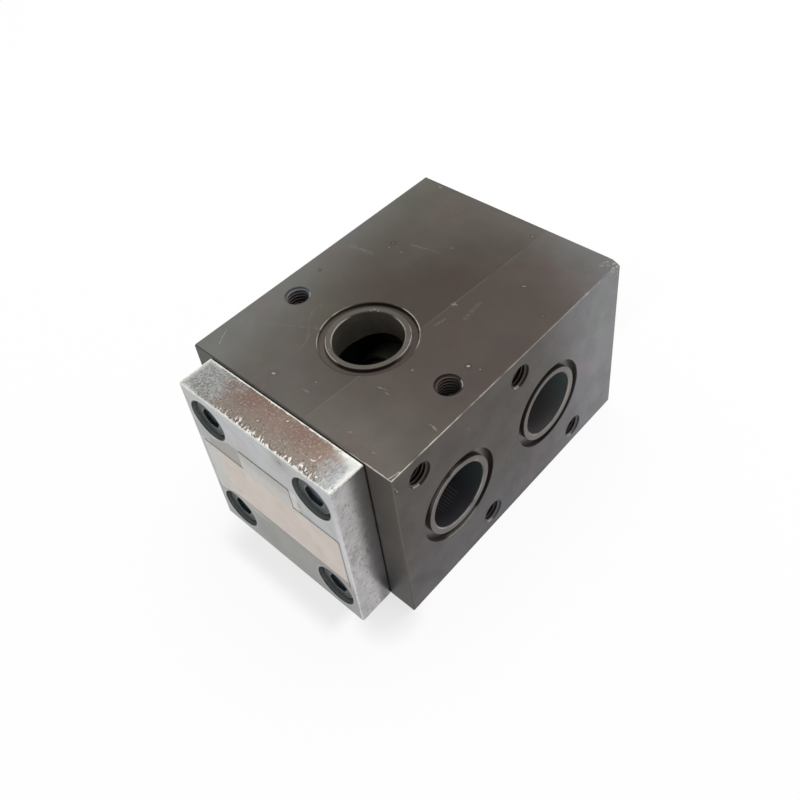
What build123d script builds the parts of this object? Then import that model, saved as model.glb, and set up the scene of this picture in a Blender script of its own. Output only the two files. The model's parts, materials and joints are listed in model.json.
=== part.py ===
from build123d import *
import math
import os

# Thermostatic valve for an oil circuit, in millimetres.
# A rectangular body is bored from one end. A bolted cover closes the bore, and a wax thermostat
# stands on a seat ring between a front chamber, which the top port and the near side port share,
# and a rear chamber, which opens at the far side port.
# Origin: middle of the underside of the whole valve. +Z is up, the cover faces -Y, and the two
# side ports face +X. A station is a distance from the joint face into the body, along the bore.

# Body
body_width = 100.0
body_length = 130.0
body_height = 80.0
body_edge = 0.25

# Main bore, stepped from the front chamber down to the rear chamber
front_bore_r = 30.0
rear_bore_r = 22.0
bore_x = -1.0
bore_lead = 0.8
rear_pocket = 6.0

# Ports and the seal groove in the face round each of them
port_r = 13.5
port_edge = 0.4
top_land = 2.4
top_groove_width = 2.8
top_groove_depth = 1.3
side_land = 2.55
side_groove_width = 3.1
side_groove_depth = 2.4
top_port_x = -0.3
top_port_station = 41.7
near_port_station = 30.0
side_port_z = 39.7
far_port_wall = 4.5

# Tapped holes for the pipe flanges, at the nominal size of their thread
thread_r = 5.0
tapped_edge = 0.25
top_bolt_spacing = 76.5
top_bolt_depth = 20.0
side_bolt_circle = 71.0
side_bolt_angle = 60.0
side_bolt_depth = 15.0
drill_point_angle = 59.0

# Knocked corners of the body: how far each is rounded off along the top edges and down the corner
left_knock_along = 1.0
left_knock_down = 1.0
right_knock_along = 4.5
right_knock_down = 2.0

# Cover and its four screws
cover_thickness = 15.0
cover_edge = 0.4
cover_back_edge = 0.3
cover_side_margin = 2.92
cover_top_margin = 3.42
screw_wall = 3.3
screw_head_r = 8.0
screw_head_height = 10.0
screw_head_edge = 0.6
screw_length = 25.0
screw_tip = 1.0
screw_fit = 0.05
screw_hole_extra = 3.0
socket_flats = 8.0
socket_depth = 5.0
counterbore_gap = 1.0
counterbore_extra = 1.4
screw_hole_gap = 0.5
spigot_length = 8.0
spigot_fit = 0.1
cover_seal_cord = 3.0
cover_seal_station = 4.6

# Bare sticker on the cover, a wide band with a narrower tab above it
label_thickness = 0.2
label_width = 73.0
label_bottom = 20.5
label_height = 29.5
label_tab_width = 27.0
label_tab_height = 10.5
label_tab_x = 0.5
label_corner = 1.0

# Seals in their grooves
seal_gap = 0.05
seal_side_gap = 0.15

# Seat ring, against the shoulder of the bore, and the ring that retains it
seat_thickness = 5.0
seat_opening_r = 17.0
seat_fit = 0.25
seat_edge = 0.6
seat_seal_cord = 2.4
port_to_ring_groove = 3.65
ring_thickness = 2.0
ring_groove_depth = 1.5
ring_groove_play = 0.15
ring_width = 4.3
ring_groove_fit = 0.2
ring_gap_angle = 44.0
ring_lug_r = 3.0
ring_lug_reach = 2.5
ring_lug_hole_r = 1.2

# Thermostat frames: a cage in front of the seat and a bridge behind it
frame_foot_thickness = 2.0
frame_strap_width = 9.0
frame_strap_thickness = 2.0
cage_angle = -45.0
bridge_angle = 90.0
cage_ring_gap = 0.5
cage_foot_width = 2.5
cage_hub_gap = 0.3
cage_hub_rim = 1.0
bridge_wall_gap = 0.5
bridge_reach = 24.0
bridge_hub_r = 7.5
bridge_hub_length = 8.0
pin_socket_depth = 6.0

# Wax capsule, its piston pin and the valve disc that it carries
travel = 8.0
cup_r = 11.0
cup_wall = 1.2
cup_end_gap = 4.0
cup_stands_out = 2.0
cup_lip = 1.6
cup_lip_thickness = 1.0
cup_edge = 1.5
guide_flange_thickness = 4.0
guide_neck_r = 6.5
guide_neck_length = 15.0
guide_edge = 0.8
pin_r = 4.0
pin_fit = 0.03
pin_edge = 0.6
pin_in_boot = 14.0
boot_wall = 1.8
boot_gap = 0.2
boot_flange = 2.0
boot_end_gap = 1.0
disc_thickness = 1.5
disc_overlap = 2.5
disc_dish = 2.5
disc_hub_r = 10.5
disc_web = 2.5
disc_rim = 8.4
disc_fit = 0.1
clip_thickness = 1.2
clip_width = 3.2
clip_groove_depth = 0.5
clip_opening = 8.0

# Main spring
spring_wire_r = 1.5
spring_wire_sides = 12
spring_gap = 2.5
spring_turns = 6.5

# How far a cutter runs past the face that it enters
overshoot = 1.0

# Worked-out sizes
screw_diagonal = front_bore_r + screw_wall + thread_r
screw_spacing = screw_diagonal * math.sqrt(2)
counterbore_r = screw_head_r + counterbore_gap
counterbore_depth = screw_head_height + counterbore_extra
cover_width = screw_spacing + 2 * (counterbore_r + cover_side_margin)
cover_height = screw_spacing + 2 * (counterbore_r + cover_top_margin)
bore_z = cover_height / 2
overall_length = label_thickness + cover_thickness + body_length
cover_front_y = label_thickness - overall_length / 2
joint_y = cover_front_y + cover_thickness
screw_grip = cover_thickness - counterbore_depth
screw_hole_depth = screw_length - screw_grip + screw_hole_extra
ring_front = top_port_station + port_r + port_to_ring_groove + ring_groove_play / 2
seat_front = ring_front + ring_thickness
front_bore_depth = seat_front + seat_thickness
far_port_station = front_bore_depth + far_port_wall + port_r
rear_bore_end = far_port_station + port_r + rear_pocket
ring_groove_r = front_bore_r + ring_groove_depth
ring_outer_r = ring_groove_r - ring_groove_fit
ring_inner_r = ring_outer_r - ring_width
cage_foot_r = ring_inner_r - ring_lug_reach - cage_ring_gap
cage_foot_front = seat_front - frame_foot_thickness
capsule_front = spigot_length + cup_end_gap + travel
cage_front = capsule_front + cup_stands_out
cage_hub_hole_r = cup_r + cage_hub_gap
spring_mean_r = cup_r + spring_gap + spring_wire_r
cage_hub_r = spring_mean_r + spring_wire_r + cage_hub_rim
disc_r = seat_opening_r + disc_overlap
disc_front = seat_front - disc_thickness
disc_hub_front = disc_front - disc_dish
cup_end = disc_hub_front
cup_inner_r = cup_r - cup_wall
guide_flange_end = cup_end - cup_lip_thickness
guide_flange_front = guide_flange_end - guide_flange_thickness
guide_end = cup_end + guide_neck_length
boot_flange_front = guide_flange_front - boot_flange
pin_front = boot_flange_front - pin_in_boot
bridge_foot_end = front_bore_depth + frame_foot_thickness
bridge_hub_front = front_bore_depth + bridge_reach - bridge_hub_length
bridge_hub_end = front_bore_depth + bridge_reach
pin_end = bridge_hub_front + pin_socket_depth


def on_bore(shape):
    """Moves a shape from its own axis, with stations along Y, to the bore's place in the body."""
    return Pos(bore_x, joint_y, bore_z) * shape


def turned(points):
    """A piece turned about the bore's axis, from (radius, station) corners."""
    outline = make_face(Polyline(*points, close=True))
    return on_bore(revolve(outline, axis=Axis.Y))


def bar(radius, start, end):
    """A plain round bar on the bore's axis, from one station to another."""
    return turned([(0, start), (radius, start), (radius, end), (0, end)])


def ring(outer, inner, start, end):
    """A plain square-edged ring on the bore's axis."""
    return turned([(inner, start), (outer, start), (outer, end), (inner, end)])


def strap(reach, angle, end_a, end_b):
    """A flat bar bent to a U: a crosspiece at end_a and two legs that run on to end_b."""
    inner = reach - frame_strap_thickness
    step = math.copysign(frame_strap_thickness, end_b - end_a)
    points = [(-reach, end_a), (reach, end_a), (reach, end_b), (inner, end_b)]
    points += [(inner, end_a + step), (-inner, end_a + step), (-inner, end_b), (-reach, end_b)]
    outline = make_face(Polyline(*points, close=True))
    solid = extrude(outline, amount=frame_strap_width / 2, both=True)
    return on_bore(Rot(0, angle, 0) * solid)


def top_face(x, station):
    """Plane on the body's top face, whose Z axis points out of it."""
    return Plane(origin=(x, joint_y + station, body_height), x_dir=(1, 0, 0), z_dir=(0, 0, 1))


def side_face(station, z):
    """Plane on the body's side face with the two ports, whose Z axis points out of it."""
    return Plane(origin=(body_width / 2, joint_y + station, z), x_dir=(0, 1, 0), z_dir=(1, 0, 0))


def cover_corners():
    """Centres of the four cover screws, as x and z, from the bore's axis."""
    half = screw_spacing / 2
    return [(-half, half), (half, half), (-half, -half), (half, -half)]


def side_bolts(station):
    """Stations and heights of the two tapped holes beside one side port."""
    angle = math.radians(side_bolt_angle)
    along = side_bolt_circle / 2 * math.cos(angle)
    up = side_bolt_circle / 2 * math.sin(angle)
    return [(station - along, side_port_z + up), (station + along, side_port_z - up)]


def down_cut(points):
    """A turned cutter on its own Z axis, from (radius, height) corners; the face is at height 0."""
    outline = Plane.XZ * make_face(Polyline(*points, close=True))
    return revolve(outline, axis=Axis.Z)


def tapped_cut(depth):
    """A tapped hole at its thread's nominal size, with a countersunk mouth and a drilled point."""
    point = thread_r / math.tan(math.radians(drill_point_angle))
    mouth = thread_r + tapped_edge
    corners = [(0, tapped_edge), (mouth + tapped_edge, tapped_edge), (thread_r, -tapped_edge)]
    corners += [(thread_r, -depth), (0, -depth - point)]
    return down_cut(corners)


def port_cut(depth, land, groove_width, groove_depth):
    """A port's bore with its broken edge, and the round seal groove outside its land."""
    corners = [(0, port_edge), (port_r + 2 * port_edge, port_edge), (port_r, -port_edge)]
    corners += [(port_r, -depth), (0, -depth)]
    inner = port_r + land
    outer = inner + groove_width
    groove = [(inner, overshoot), (outer, overshoot), (outer, -groove_depth), (inner, -groove_depth)]
    return down_cut(corners) + down_cut(groove)


def bore_cut():
    """The stepped main bore with its lead-in and the groove for the retaining ring."""
    mouth = front_bore_r + bore_lead
    ring_start = ring_front - ring_groove_play / 2
    ring_end = seat_front + ring_groove_play / 2
    points = [(0, -overshoot), (mouth, -overshoot), (mouth, 0), (front_bore_r, bore_lead)]
    points += [(front_bore_r, ring_start), (ring_groove_r, ring_start), (ring_groove_r, ring_end)]
    points += [(front_bore_r, ring_end), (front_bore_r, front_bore_depth)]
    points += [(rear_bore_r, front_bore_depth), (rear_bore_r, rear_bore_end), (0, rear_bore_end)]
    return turned(points)


def corner_knock(side, end, along, down):
    """Rounds one top corner of the body: side is -1 or 1 in X, end is -1 or 1 in Y.

    What is cut away lies outside a ball that meets both top edges and the upright edge, along
    and down from the corner."""
    inward = 2 * along
    depth = (3 * along ** 2 + down ** 2) / (2 * down)
    ball_r = math.sqrt(5 * along ** 2 + depth ** 2)
    y = joint_y if end < 0 else joint_y + body_length
    corner = Pos(side * body_width / 2, y, body_height)
    block = Box(3 * along, 3 * along, 3 * down)
    ball = Pos(-side * inward, -end * inward, -depth) * Sphere(ball_r)
    return corner * (block - ball)


def valve_body():
    middle = Pos(0, joint_y + body_length / 2, body_height / 2)
    solid = middle * Box(body_width, body_length, body_height)
    solid = chamfer(solid.edges(), body_edge)
    solid -= bore_cut()
    top_depth = body_height - bore_z
    top_port = port_cut(top_depth, top_land, top_groove_width, top_groove_depth)
    solid -= top_face(top_port_x, top_port_station) * top_port
    side_depth = body_width / 2 - bore_x
    side_port = port_cut(side_depth, side_land, side_groove_width, side_groove_depth)
    for station in (near_port_station, far_port_station):
        solid -= side_face(station, side_port_z) * side_port
        for place in side_bolts(station):
            solid -= side_face(*place) * tapped_cut(side_bolt_depth)
    for x in (top_port_x - top_bolt_spacing / 2, top_port_x + top_bolt_spacing / 2):
        solid -= top_face(x, top_port_station) * tapped_cut(top_bolt_depth)
    for x, z in cover_corners():
        mouth = Plane(origin=(bore_x + x, joint_y, bore_z + z), x_dir=(1, 0, 0), z_dir=(0, -1, 0))
        solid -= mouth * tapped_cut(screw_hole_depth)
    solid -= corner_knock(-1, -1, left_knock_along, left_knock_down)
    solid -= corner_knock(1, 1, right_knock_along, right_knock_down)
    return solid


def cover_plate():
    plate = Pos(bore_x, (cover_front_y + joint_y) / 2, cover_height / 2)
    plate *= Box(cover_width, cover_thickness, cover_height)
    plate = chamfer(plate.faces().sort_by(Axis.Y)[0].edges(), cover_edge)
    plate = chamfer(plate.faces().sort_by(Axis.Y)[-1].edges(), cover_back_edge)
    spigot_r = front_bore_r - spigot_fit
    groove_half = cover_seal_cord / 2 + seal_side_gap
    groove_r = front_bore_r - cover_seal_cord - 2 * seal_gap
    plate += bar(spigot_r, 0, spigot_length)
    plate -= ring(front_bore_r, groove_r, cover_seal_station - groove_half, cover_seal_station + groove_half)
    for x, z in cover_corners():
        seat = Plane(origin=(bore_x + x, cover_front_y, bore_z + z), x_dir=(1, 0, 0), z_dir=(0, -1, 0))
        hole_r = thread_r + screw_hole_gap
        end = -cover_thickness - overshoot
        points = [(0, overshoot), (counterbore_r, overshoot), (counterbore_r, -counterbore_depth)]
        points += [(hole_r, -counterbore_depth), (hole_r, end), (0, end)]
        plate -= seat * down_cut(points)
    return plate


def cover_screw(x, z):
    """A socket head cap screw whose head stands on the counterbore's floor."""
    floor_y = joint_y - screw_grip
    place = Plane(origin=(bore_x + x, floor_y, bore_z + z), x_dir=(1, 0, 0), z_dir=(0, -1, 0))
    top = screw_head_height
    shank_r = thread_r - screw_fit
    points = [(0, top), (screw_head_r - screw_head_edge, top), (screw_head_r, top - screw_head_edge)]
    points += [(screw_head_r, 0), (shank_r, 0), (shank_r, screw_tip - screw_length)]
    points += [(shank_r - screw_tip, -screw_length), (0, -screw_length)]
    solid = down_cut(points)
    socket = extrude(RegularPolygon(socket_flats / 2, 6, major_radius=False), amount=-socket_depth)
    solid -= Pos(0, 0, top) * socket
    return place * solid


def cover_seal():
    """The cover spigot's rubber O-ring."""
    return o_ring(cover_seal_cord, cover_seal_station)


def o_ring(cord, station):
    """A round seal that lies against the front bore's wall."""
    section = Pos(front_bore_r - cord / 2 - seal_gap, station) * Circle(cord / 2)
    return on_bore(revolve(section, axis=Axis.Y))


def data_label():
    band_z = label_bottom + label_height / 2
    tab_height = label_tab_height + label_corner * 2
    tab_z = label_bottom + label_height + label_tab_height - tab_height / 2
    outline = Pos(bore_x, band_z) * RectangleRounded(label_width, label_height, label_corner)
    outline += Pos(bore_x + label_tab_x, tab_z) * RectangleRounded(label_tab_width, tab_height, label_corner)
    outline -= label_holes()
    face = Plane(origin=(0, cover_front_y, 0), x_dir=(1, 0, 0), z_dir=(0, -1, 0))
    return extrude(face * outline, amount=label_thickness)


def label_holes():
    """Round bites that keep the sticker clear of the screws' counterbores."""
    circles = [Pos(bore_x + x, bore_z + z) * Circle(counterbore_r + label_corner) for x, z in cover_corners()]
    return circles[0] + circles[1] + circles[2] + circles[3]


def seat_ring():
    """Bronze ring between the two chambers; the valve disc closes its opening."""
    outer = front_bore_r - seat_fit
    end = front_bore_depth
    groove_r = front_bore_r - seat_seal_cord - 2 * seal_gap
    middle = seat_front + seat_thickness / 2
    half = seat_seal_cord / 2 + seal_side_gap
    points = [(seat_opening_r, seat_front), (outer, seat_front), (outer, middle - half)]
    points += [(groove_r, middle - half), (groove_r, middle + half), (outer, middle + half)]
    points += [(outer, end), (seat_opening_r + seat_edge, end), (seat_opening_r, end - seat_edge)]
    return turned(points)


def seat_seal():
    """The seat ring's rubber O-ring."""
    return o_ring(seat_seal_cord, seat_front + seat_thickness / 2)


def retaining_ring():
    """Internal retaining ring with a gap between two pierced lugs."""
    half_gap = math.radians(ring_gap_angle / 2)
    reach = ring_outer_r * 2
    wedge = make_face(Polyline((0, 0), (reach * math.cos(half_gap), reach * math.sin(half_gap)),
                               (reach * math.cos(half_gap), -reach * math.sin(half_gap)), close=True))
    outline = Circle(ring_outer_r) - Circle(ring_inner_r) - wedge
    lug_place = ring_inner_r - ring_lug_reach + ring_lug_r
    lug_angle = half_gap + ring_lug_r / lug_place
    for side in (-1, 1):
        spot = Pos(lug_place * math.cos(lug_angle), side * lug_place * math.sin(lug_angle))
        outline += spot * Circle(ring_lug_r)
        outline -= spot * Circle(ring_lug_hole_r)
    solid = extrude(outline, amount=ring_thickness)
    face = Plane(origin=(bore_x, joint_y + seat_front, bore_z), x_dir=(0, 0, -1), z_dir=(0, -1, 0))
    return face * solid


def thermostat_cage():
    """Front frame: a foot ring on the seat, two legs, and a crosspiece that carries the spring."""
    solid = strap(cage_foot_r, cage_angle, cage_front, cage_foot_front)
    solid += ring(cage_foot_r, cage_foot_r - cage_foot_width, cage_foot_front, seat_front)
    solid += bar(cage_hub_r, cage_front, cage_front + frame_strap_thickness)
    solid -= bar(cage_hub_hole_r, cage_front - overshoot, cage_front + frame_strap_thickness + overshoot)
    return solid


def piston_bridge():
    """Rear frame: a foot ring against the seat, two legs, and a hub that holds the piston pin."""
    outer = rear_bore_r - bridge_wall_gap
    solid = strap(outer, bridge_angle, bridge_hub_end, bridge_foot_end)
    solid += ring(outer, seat_opening_r + seat_edge, front_bore_depth, bridge_foot_end)
    solid += bar(bridge_hub_r, bridge_hub_front, bridge_hub_end)
    solid -= bar(pin_r, bridge_hub_front - overshoot, pin_end)
    return solid


def piston_pin():
    """Polished pin: it stands in the bridge's hub, and the capsule slides along it."""
    points = [(0, pin_front), (pin_r - pin_edge, pin_front), (pin_r, pin_front + pin_edge)]
    points += [(pin_r, pin_end), (0, pin_end)]
    return turned(points)


def capsule_cup():
    """Brass cup of the wax capsule, with its lip rolled in over the guide's flange."""
    inner_front = capsule_front + cup_wall
    points = [(0, capsule_front), (cup_r - cup_edge, capsule_front), (cup_r, capsule_front + cup_edge)]
    points += [(cup_r, cup_end), (cup_inner_r - cup_lip, cup_end), (cup_inner_r - cup_lip, guide_flange_end)]
    points += [(cup_inner_r, guide_flange_end), (cup_inner_r, inner_front), (0, inner_front)]
    return turned(points)


def capsule_guide():
    """Brass guide that closes the cup, with a long neck bored for the piston pin."""
    hole_r = pin_r + pin_fit
    clip_front = disc_hub_front + disc_thickness
    clip_end = clip_front + clip_thickness
    groove_r = guide_neck_r - clip_groove_depth
    points = [(hole_r, guide_flange_front), (cup_inner_r, guide_flange_front)]
    points += [(cup_inner_r, guide_flange_end), (guide_neck_r, guide_flange_end), (guide_neck_r, clip_front)]
    points += [(groove_r, clip_front), (groove_r, clip_end), (guide_neck_r, clip_end)]
    points += [(guide_neck_r, guide_end - guide_edge), (guide_neck_r - guide_edge, guide_end)]
    points += [(hole_r, guide_end)]
    return turned(points)


def rubber_boot():
    """Rubber boot that keeps the wax off the pin, with a flange clamped under the guide."""
    inner = pin_r + boot_gap
    outer = inner + boot_wall
    closed = pin_front - boot_end_gap
    points = [(0, closed - boot_wall), (outer, closed - boot_wall), (outer, boot_flange_front)]
    points += [(cup_inner_r, boot_flange_front), (cup_inner_r, guide_flange_front)]
    points += [(inner, guide_flange_front), (inner, closed), (0, closed)]
    return turned(points)


def wax_charge():
    """The wax that fills the cup round the boot."""
    outer = pin_r + boot_gap + boot_wall
    closed = pin_front - boot_end_gap - boot_wall
    start = capsule_front + cup_wall
    points = [(0, start), (cup_inner_r, start), (cup_inner_r, boot_flange_front)]
    points += [(outer, boot_flange_front), (outer, closed), (0, closed)]
    return turned(points)


def valve_disc():
    """Pressed disc: a dished hub on the capsule's neck, a flat on the seat, and a rim round the spring."""
    hole = guide_neck_r + disc_fit
    web_end = disc_hub_r + disc_web
    rim_inner = disc_r - disc_thickness
    rim_front = disc_front - disc_rim
    points = [(hole, disc_hub_front), (disc_hub_r, disc_hub_front), (web_end, disc_front)]
    points += [(rim_inner, disc_front), (rim_inner, rim_front), (disc_r, rim_front)]
    points += [(disc_r, seat_front), (web_end, seat_front)]
    points += [(disc_hub_r, disc_hub_front + disc_thickness), (hole, disc_hub_front + disc_thickness)]
    return turned(points)


def disc_clip():
    """Open clip in the neck's groove, behind the disc."""
    front = disc_hub_front + disc_thickness
    inner = guide_neck_r - clip_groove_depth
    outline = Circle(inner + clip_width) - Circle(inner)
    outline -= Pos(inner, 0) * Rectangle(2 * clip_width + inner, clip_opening)
    solid = extrude(outline, amount=clip_thickness)
    face = Plane(origin=(bore_x, joint_y + front, bore_z), x_dir=(0, 0, 1), z_dir=(0, 1, 0))
    return face * solid


def main_spring():
    """Wire coiled between the cage and the disc, with its end coils ground flat.

    The wire's round section is a polygon of narrow flats, which keeps the coil's surface simple."""
    start = cage_front + frame_strap_thickness
    length = disc_front - start
    pitch = length / spring_turns
    path = Helix(pitch, length + pitch, spring_mean_r)
    section = Plane(origin=path @ 0, z_dir=path % 0) * RegularPolygon(spring_wire_r, spring_wire_sides)
    coil = sweep(section, path=path, is_frenet=True)
    from_below = (Align.CENTER, Align.CENTER, Align.MIN)
    slab = Pos(0, 0, pitch / 2) * Cylinder(cage_hub_r, length, align=from_below)
    solid = Pos(0, 0, -pitch / 2) * (coil & slab)
    face = Plane(origin=(bore_x, joint_y + start, bore_z), x_dir=(1, 0, 0), z_dir=(0, 1, 0))
    return face * solid


def all_parts():
    parts = {
        "valve_body": valve_body(),
        "cover_plate": cover_plate(),
        "cover_seal": cover_seal(),
        "data_label": data_label(),
        "seat_ring": seat_ring(),
        "seat_seal": seat_seal(),
        "retaining_ring": retaining_ring(),
        "thermostat_cage": thermostat_cage(),
        "piston_bridge": piston_bridge(),
        "piston_pin": piston_pin(),
        "main_spring": main_spring(),
        "valve_disc": valve_disc(),
        "disc_clip": disc_clip(),
        "capsule_cup": capsule_cup(),
        "capsule_guide": capsule_guide(),
        "rubber_boot": rubber_boot(),
        "wax_charge": wax_charge(),
    }
    for number, (x, z) in enumerate(cover_corners(), start=1):
        parts[f"cover_screw_{number}"] = cover_screw(x, z)
    return parts


os.makedirs("parts", exist_ok=True)
for name, solid in all_parts().items():
    export_step(solid, f"parts/{name}.step")
    print(f"{name}: {len(solid.solids())} solid, {solid.volume / 1000:.2f} cm3")
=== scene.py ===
# %% [markdown]
# # A thermostatic oil valve, dressed in Blender
#
# The solids come ready made: a bored block, a bolted cover and the thermostat inside. What is
# missing is everything that makes them look real. This lesson gives each of them its finish: the
# dark anodised block with its scratches and bare edges, the rough plated cover, the black screws
# in oily holes, a bare sticker, and the threads that the solids leave out.
#
# Everything is in metres, in the frame of the solids: +Z is up, the cover faces -Y, and the face
# with two ports is +X. Sizes that people read off a drawing are written in millimetres and
# multiplied by `mm`.

# %% Load the solids
import json
import math
import bmesh
import bpy
from mathutils import Matrix, Vector


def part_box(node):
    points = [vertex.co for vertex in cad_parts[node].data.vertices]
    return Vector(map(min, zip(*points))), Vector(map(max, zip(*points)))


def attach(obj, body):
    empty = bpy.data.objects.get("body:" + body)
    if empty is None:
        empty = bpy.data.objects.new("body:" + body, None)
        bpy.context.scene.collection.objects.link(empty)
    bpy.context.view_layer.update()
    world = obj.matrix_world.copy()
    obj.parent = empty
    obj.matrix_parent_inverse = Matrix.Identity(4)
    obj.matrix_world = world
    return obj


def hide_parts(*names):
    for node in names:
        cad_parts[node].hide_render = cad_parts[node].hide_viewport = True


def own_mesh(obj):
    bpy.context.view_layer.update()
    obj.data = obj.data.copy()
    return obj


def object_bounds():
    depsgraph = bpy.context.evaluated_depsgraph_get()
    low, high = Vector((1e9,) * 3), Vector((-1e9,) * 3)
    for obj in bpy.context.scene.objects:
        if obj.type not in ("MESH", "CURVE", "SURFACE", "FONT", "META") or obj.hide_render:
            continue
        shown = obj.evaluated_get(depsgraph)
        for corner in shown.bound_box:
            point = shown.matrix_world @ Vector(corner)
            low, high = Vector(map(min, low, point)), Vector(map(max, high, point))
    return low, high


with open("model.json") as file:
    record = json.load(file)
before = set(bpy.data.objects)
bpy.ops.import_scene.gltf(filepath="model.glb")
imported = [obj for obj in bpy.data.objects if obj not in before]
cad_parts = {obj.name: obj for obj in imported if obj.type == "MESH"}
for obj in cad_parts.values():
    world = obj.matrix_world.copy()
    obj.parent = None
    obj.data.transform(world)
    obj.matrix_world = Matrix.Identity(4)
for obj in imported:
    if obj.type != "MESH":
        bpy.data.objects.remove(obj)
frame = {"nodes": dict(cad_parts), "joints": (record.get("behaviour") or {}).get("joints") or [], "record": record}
cad_low, cad_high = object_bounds()
mm = 0.001
scene = bpy.context.scene
scene.view_settings.view_transform = "Standard"
whole = [round(v / mm, 1) for v in cad_high - cad_low]
print("nodes:", len(frame["nodes"]), "whole size in mm:", whole)

# %% [markdown]
# ## Measures to work from
#
# Nothing is placed by eye where the solids can say where it belongs. The boxes of the block and
# the cover give their faces, and the record gives the ports and bolt patterns. Only what neither
# holds, such as the angle of the bolt pattern, is written here again.

# %% Read faces, ports and holes from the frame
block_low, block_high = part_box("valve_body")
plate_low, plate_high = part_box("cover_plate")
joint_y = block_low.y
plate_front = plate_low.y
mounts = {row["name"]: row for row in frame["record"]["mounts"]}
top_port = Vector(mounts["top_port"]["pos_m"])
near_port = Vector(mounts["near_side_port"]["pos_m"])
far_port = Vector(mounts["far_side_port"]["pos_m"])
port_radius = mounts["top_port"]["dims"]["r_mm"] * mm
side_bolt_angle = math.radians(60)


def tapped_holes():
    """Mouth and outward direction of each tapped hole that shows, by name."""
    reach = mounts["top_port_bolts"]["dims"]["spacing_x_mm"] / 2 * mm
    middle = Vector(mounts["top_port_bolts"]["pos_m"])
    up, right = Vector((0, 0, 1)), Vector((1, 0, 0))
    holes = {"top_left": (middle - right * reach, up), "top_right": (middle + right * reach, up)}
    for port in ("near", "far"):
        row = mounts[port + "_port_bolts"]
        middle, radius = Vector(row["pos_m"]), row["dims"]["pcd_mm"] / 2 * mm
        step = Vector((0, math.cos(side_bolt_angle), -math.sin(side_bolt_angle))) * radius
        holes[port + "_upper"] = (middle - step, right)
        holes[port + "_lower"] = (middle + step, right)
    return holes


screw_boxes = [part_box("cover_screw_%d" % number) for number in (1, 2, 3, 4)]
screw_centres = [(low + high) / 2 for low, high in screw_boxes]
print("tapped holes:", ", ".join(tapped_holes()))

# %% [markdown]
# ## The camera
#
# A photograph can be solved for its camera: the corners of the block are known, so the place,
# the turn and the focal length that put them on their pixels are known too. Blender wants the
# turn as a matrix whose columns are the camera's right, up and back directions, and the focal
# length in millimetres on a 36 mm sensor. The photograph was cut from a larger picture, so its
# optical centre isn't in the middle, and the lens shift stands for that.

# %% Set the camera
image_pixels = 800
focal_pixels = 894.7
optical_centre = (421.7, 309.7)
camera_azimuth = math.radians(46.02)
camera_elevation = math.radians(42.87)
camera_roll = math.radians(-6.60)
camera_place = Vector((181.7, -162.9, 307.0)) * mm
sensor = 36.0


def camera_turn(azimuth, elevation, roll):
    """The camera's turn as a 4 by 4 matrix, from its azimuth, elevation and roll."""
    flat = math.cos(elevation)
    back = Vector((math.sin(azimuth) * flat, -math.cos(azimuth) * flat, math.sin(elevation)))
    level = Vector((0, 0, 1)).cross(back).normalized()
    upright = back.cross(level)
    right = level * math.cos(roll) + upright * math.sin(roll)
    up = upright * math.cos(roll) - level * math.sin(roll)
    return Matrix((right, up, back)).transposed().to_4x4()


camera_data = bpy.data.cameras.new("camera")
camera_data.sensor_width = sensor
camera_data.lens = focal_pixels / image_pixels * sensor
camera_data.shift_x = (image_pixels / 2 - optical_centre[0]) / image_pixels
camera_data.shift_y = (optical_centre[1] - image_pixels / 2) / image_pixels
camera_data.clip_start = 0.01
camera_data.clip_end = 20
camera = bpy.data.objects.new("camera", camera_data)
scene.collection.objects.link(camera)
turn = camera_turn(camera_azimuth, camera_elevation, camera_roll)
camera.matrix_world = Matrix.Translation(camera_place) @ turn
scene.camera = camera
print("lens in mm:", round(camera_data.lens, 2))

# %% [markdown]
# ## Building materials in code
#
# A material is a tree of small operations. `add` places any node and feeds its inputs, `times`,
# `plus` and `minus` do sums, and `fade` turns a distance into a soft mask. An input takes a
# number, a colour or another node's output, so trees read like formulas. All of them work on
# `tree`, the tree in hand.

# %% Helpers for numbers and masks
def feed(socket, value):
    """Gives a socket its value: a wire from another socket, or a plain number, vector or colour."""
    if isinstance(value, bpy.types.NodeSocket):
        tree.links.new(value, socket)
    elif socket.type == "RGBA":
        socket.default_value = (*value, 1.0)
    else:
        socket.default_value = value


def add(kind, inputs, **settings):
    """Adds one node, with its settings made before its inputs are fed."""
    made = tree.nodes.new("ShaderNode" + kind)
    for name, value in settings.items():
        setattr(made, name, value)
    for key, value in inputs.items():
        feed(made.inputs[key], value)
    return made


def maths(operation, *values):
    """One operation on numbers or sockets, such as ABSOLUTE or DIVIDE."""
    return add("Math", dict(enumerate(values)), operation=operation).outputs[0]


def in_turn(operation, values):
    """The same operation over a whole row of values, one after another."""
    so_far = values[0]
    for value in values[1:]:
        so_far = maths(operation, so_far, value)
    return so_far


def times(*values):
    return in_turn("MULTIPLY", values)


def plus(*values):
    return in_turn("ADD", values)


def minus(first, second):
    return maths("SUBTRACT", first, second)


def strongest(masks):
    """The largest of several masks at each point."""
    return in_turn("MAXIMUM", masks)


def vectors(operation, *values):
    """One operation on vectors. LENGTH and DOT_PRODUCT give a number, the others a vector."""
    made = add("VectorMath", dict(enumerate(values)), operation=operation)
    return made.outputs["Value" if operation in ("LENGTH", "DOT_PRODUCT") else "Vector"]


def apart(vector):
    """The three numbers of a vector."""
    return add("SeparateXYZ", {0: vector}).outputs


def fade(value, start, end):
    """0 where the value is at start, 1 where it is at end, and smooth between."""
    ends = {"Value": value, "From Min": start, "From Max": end}
    return add("MapRange", ends, interpolation_type="SMOOTHSTEP").outputs["Result"]


def between(value, start, full, still_full, end):
    """0 up to start, 1 from full to still_full, and 0 again from end."""
    return times(fade(value, start, full), fade(value, end, still_full))


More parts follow.
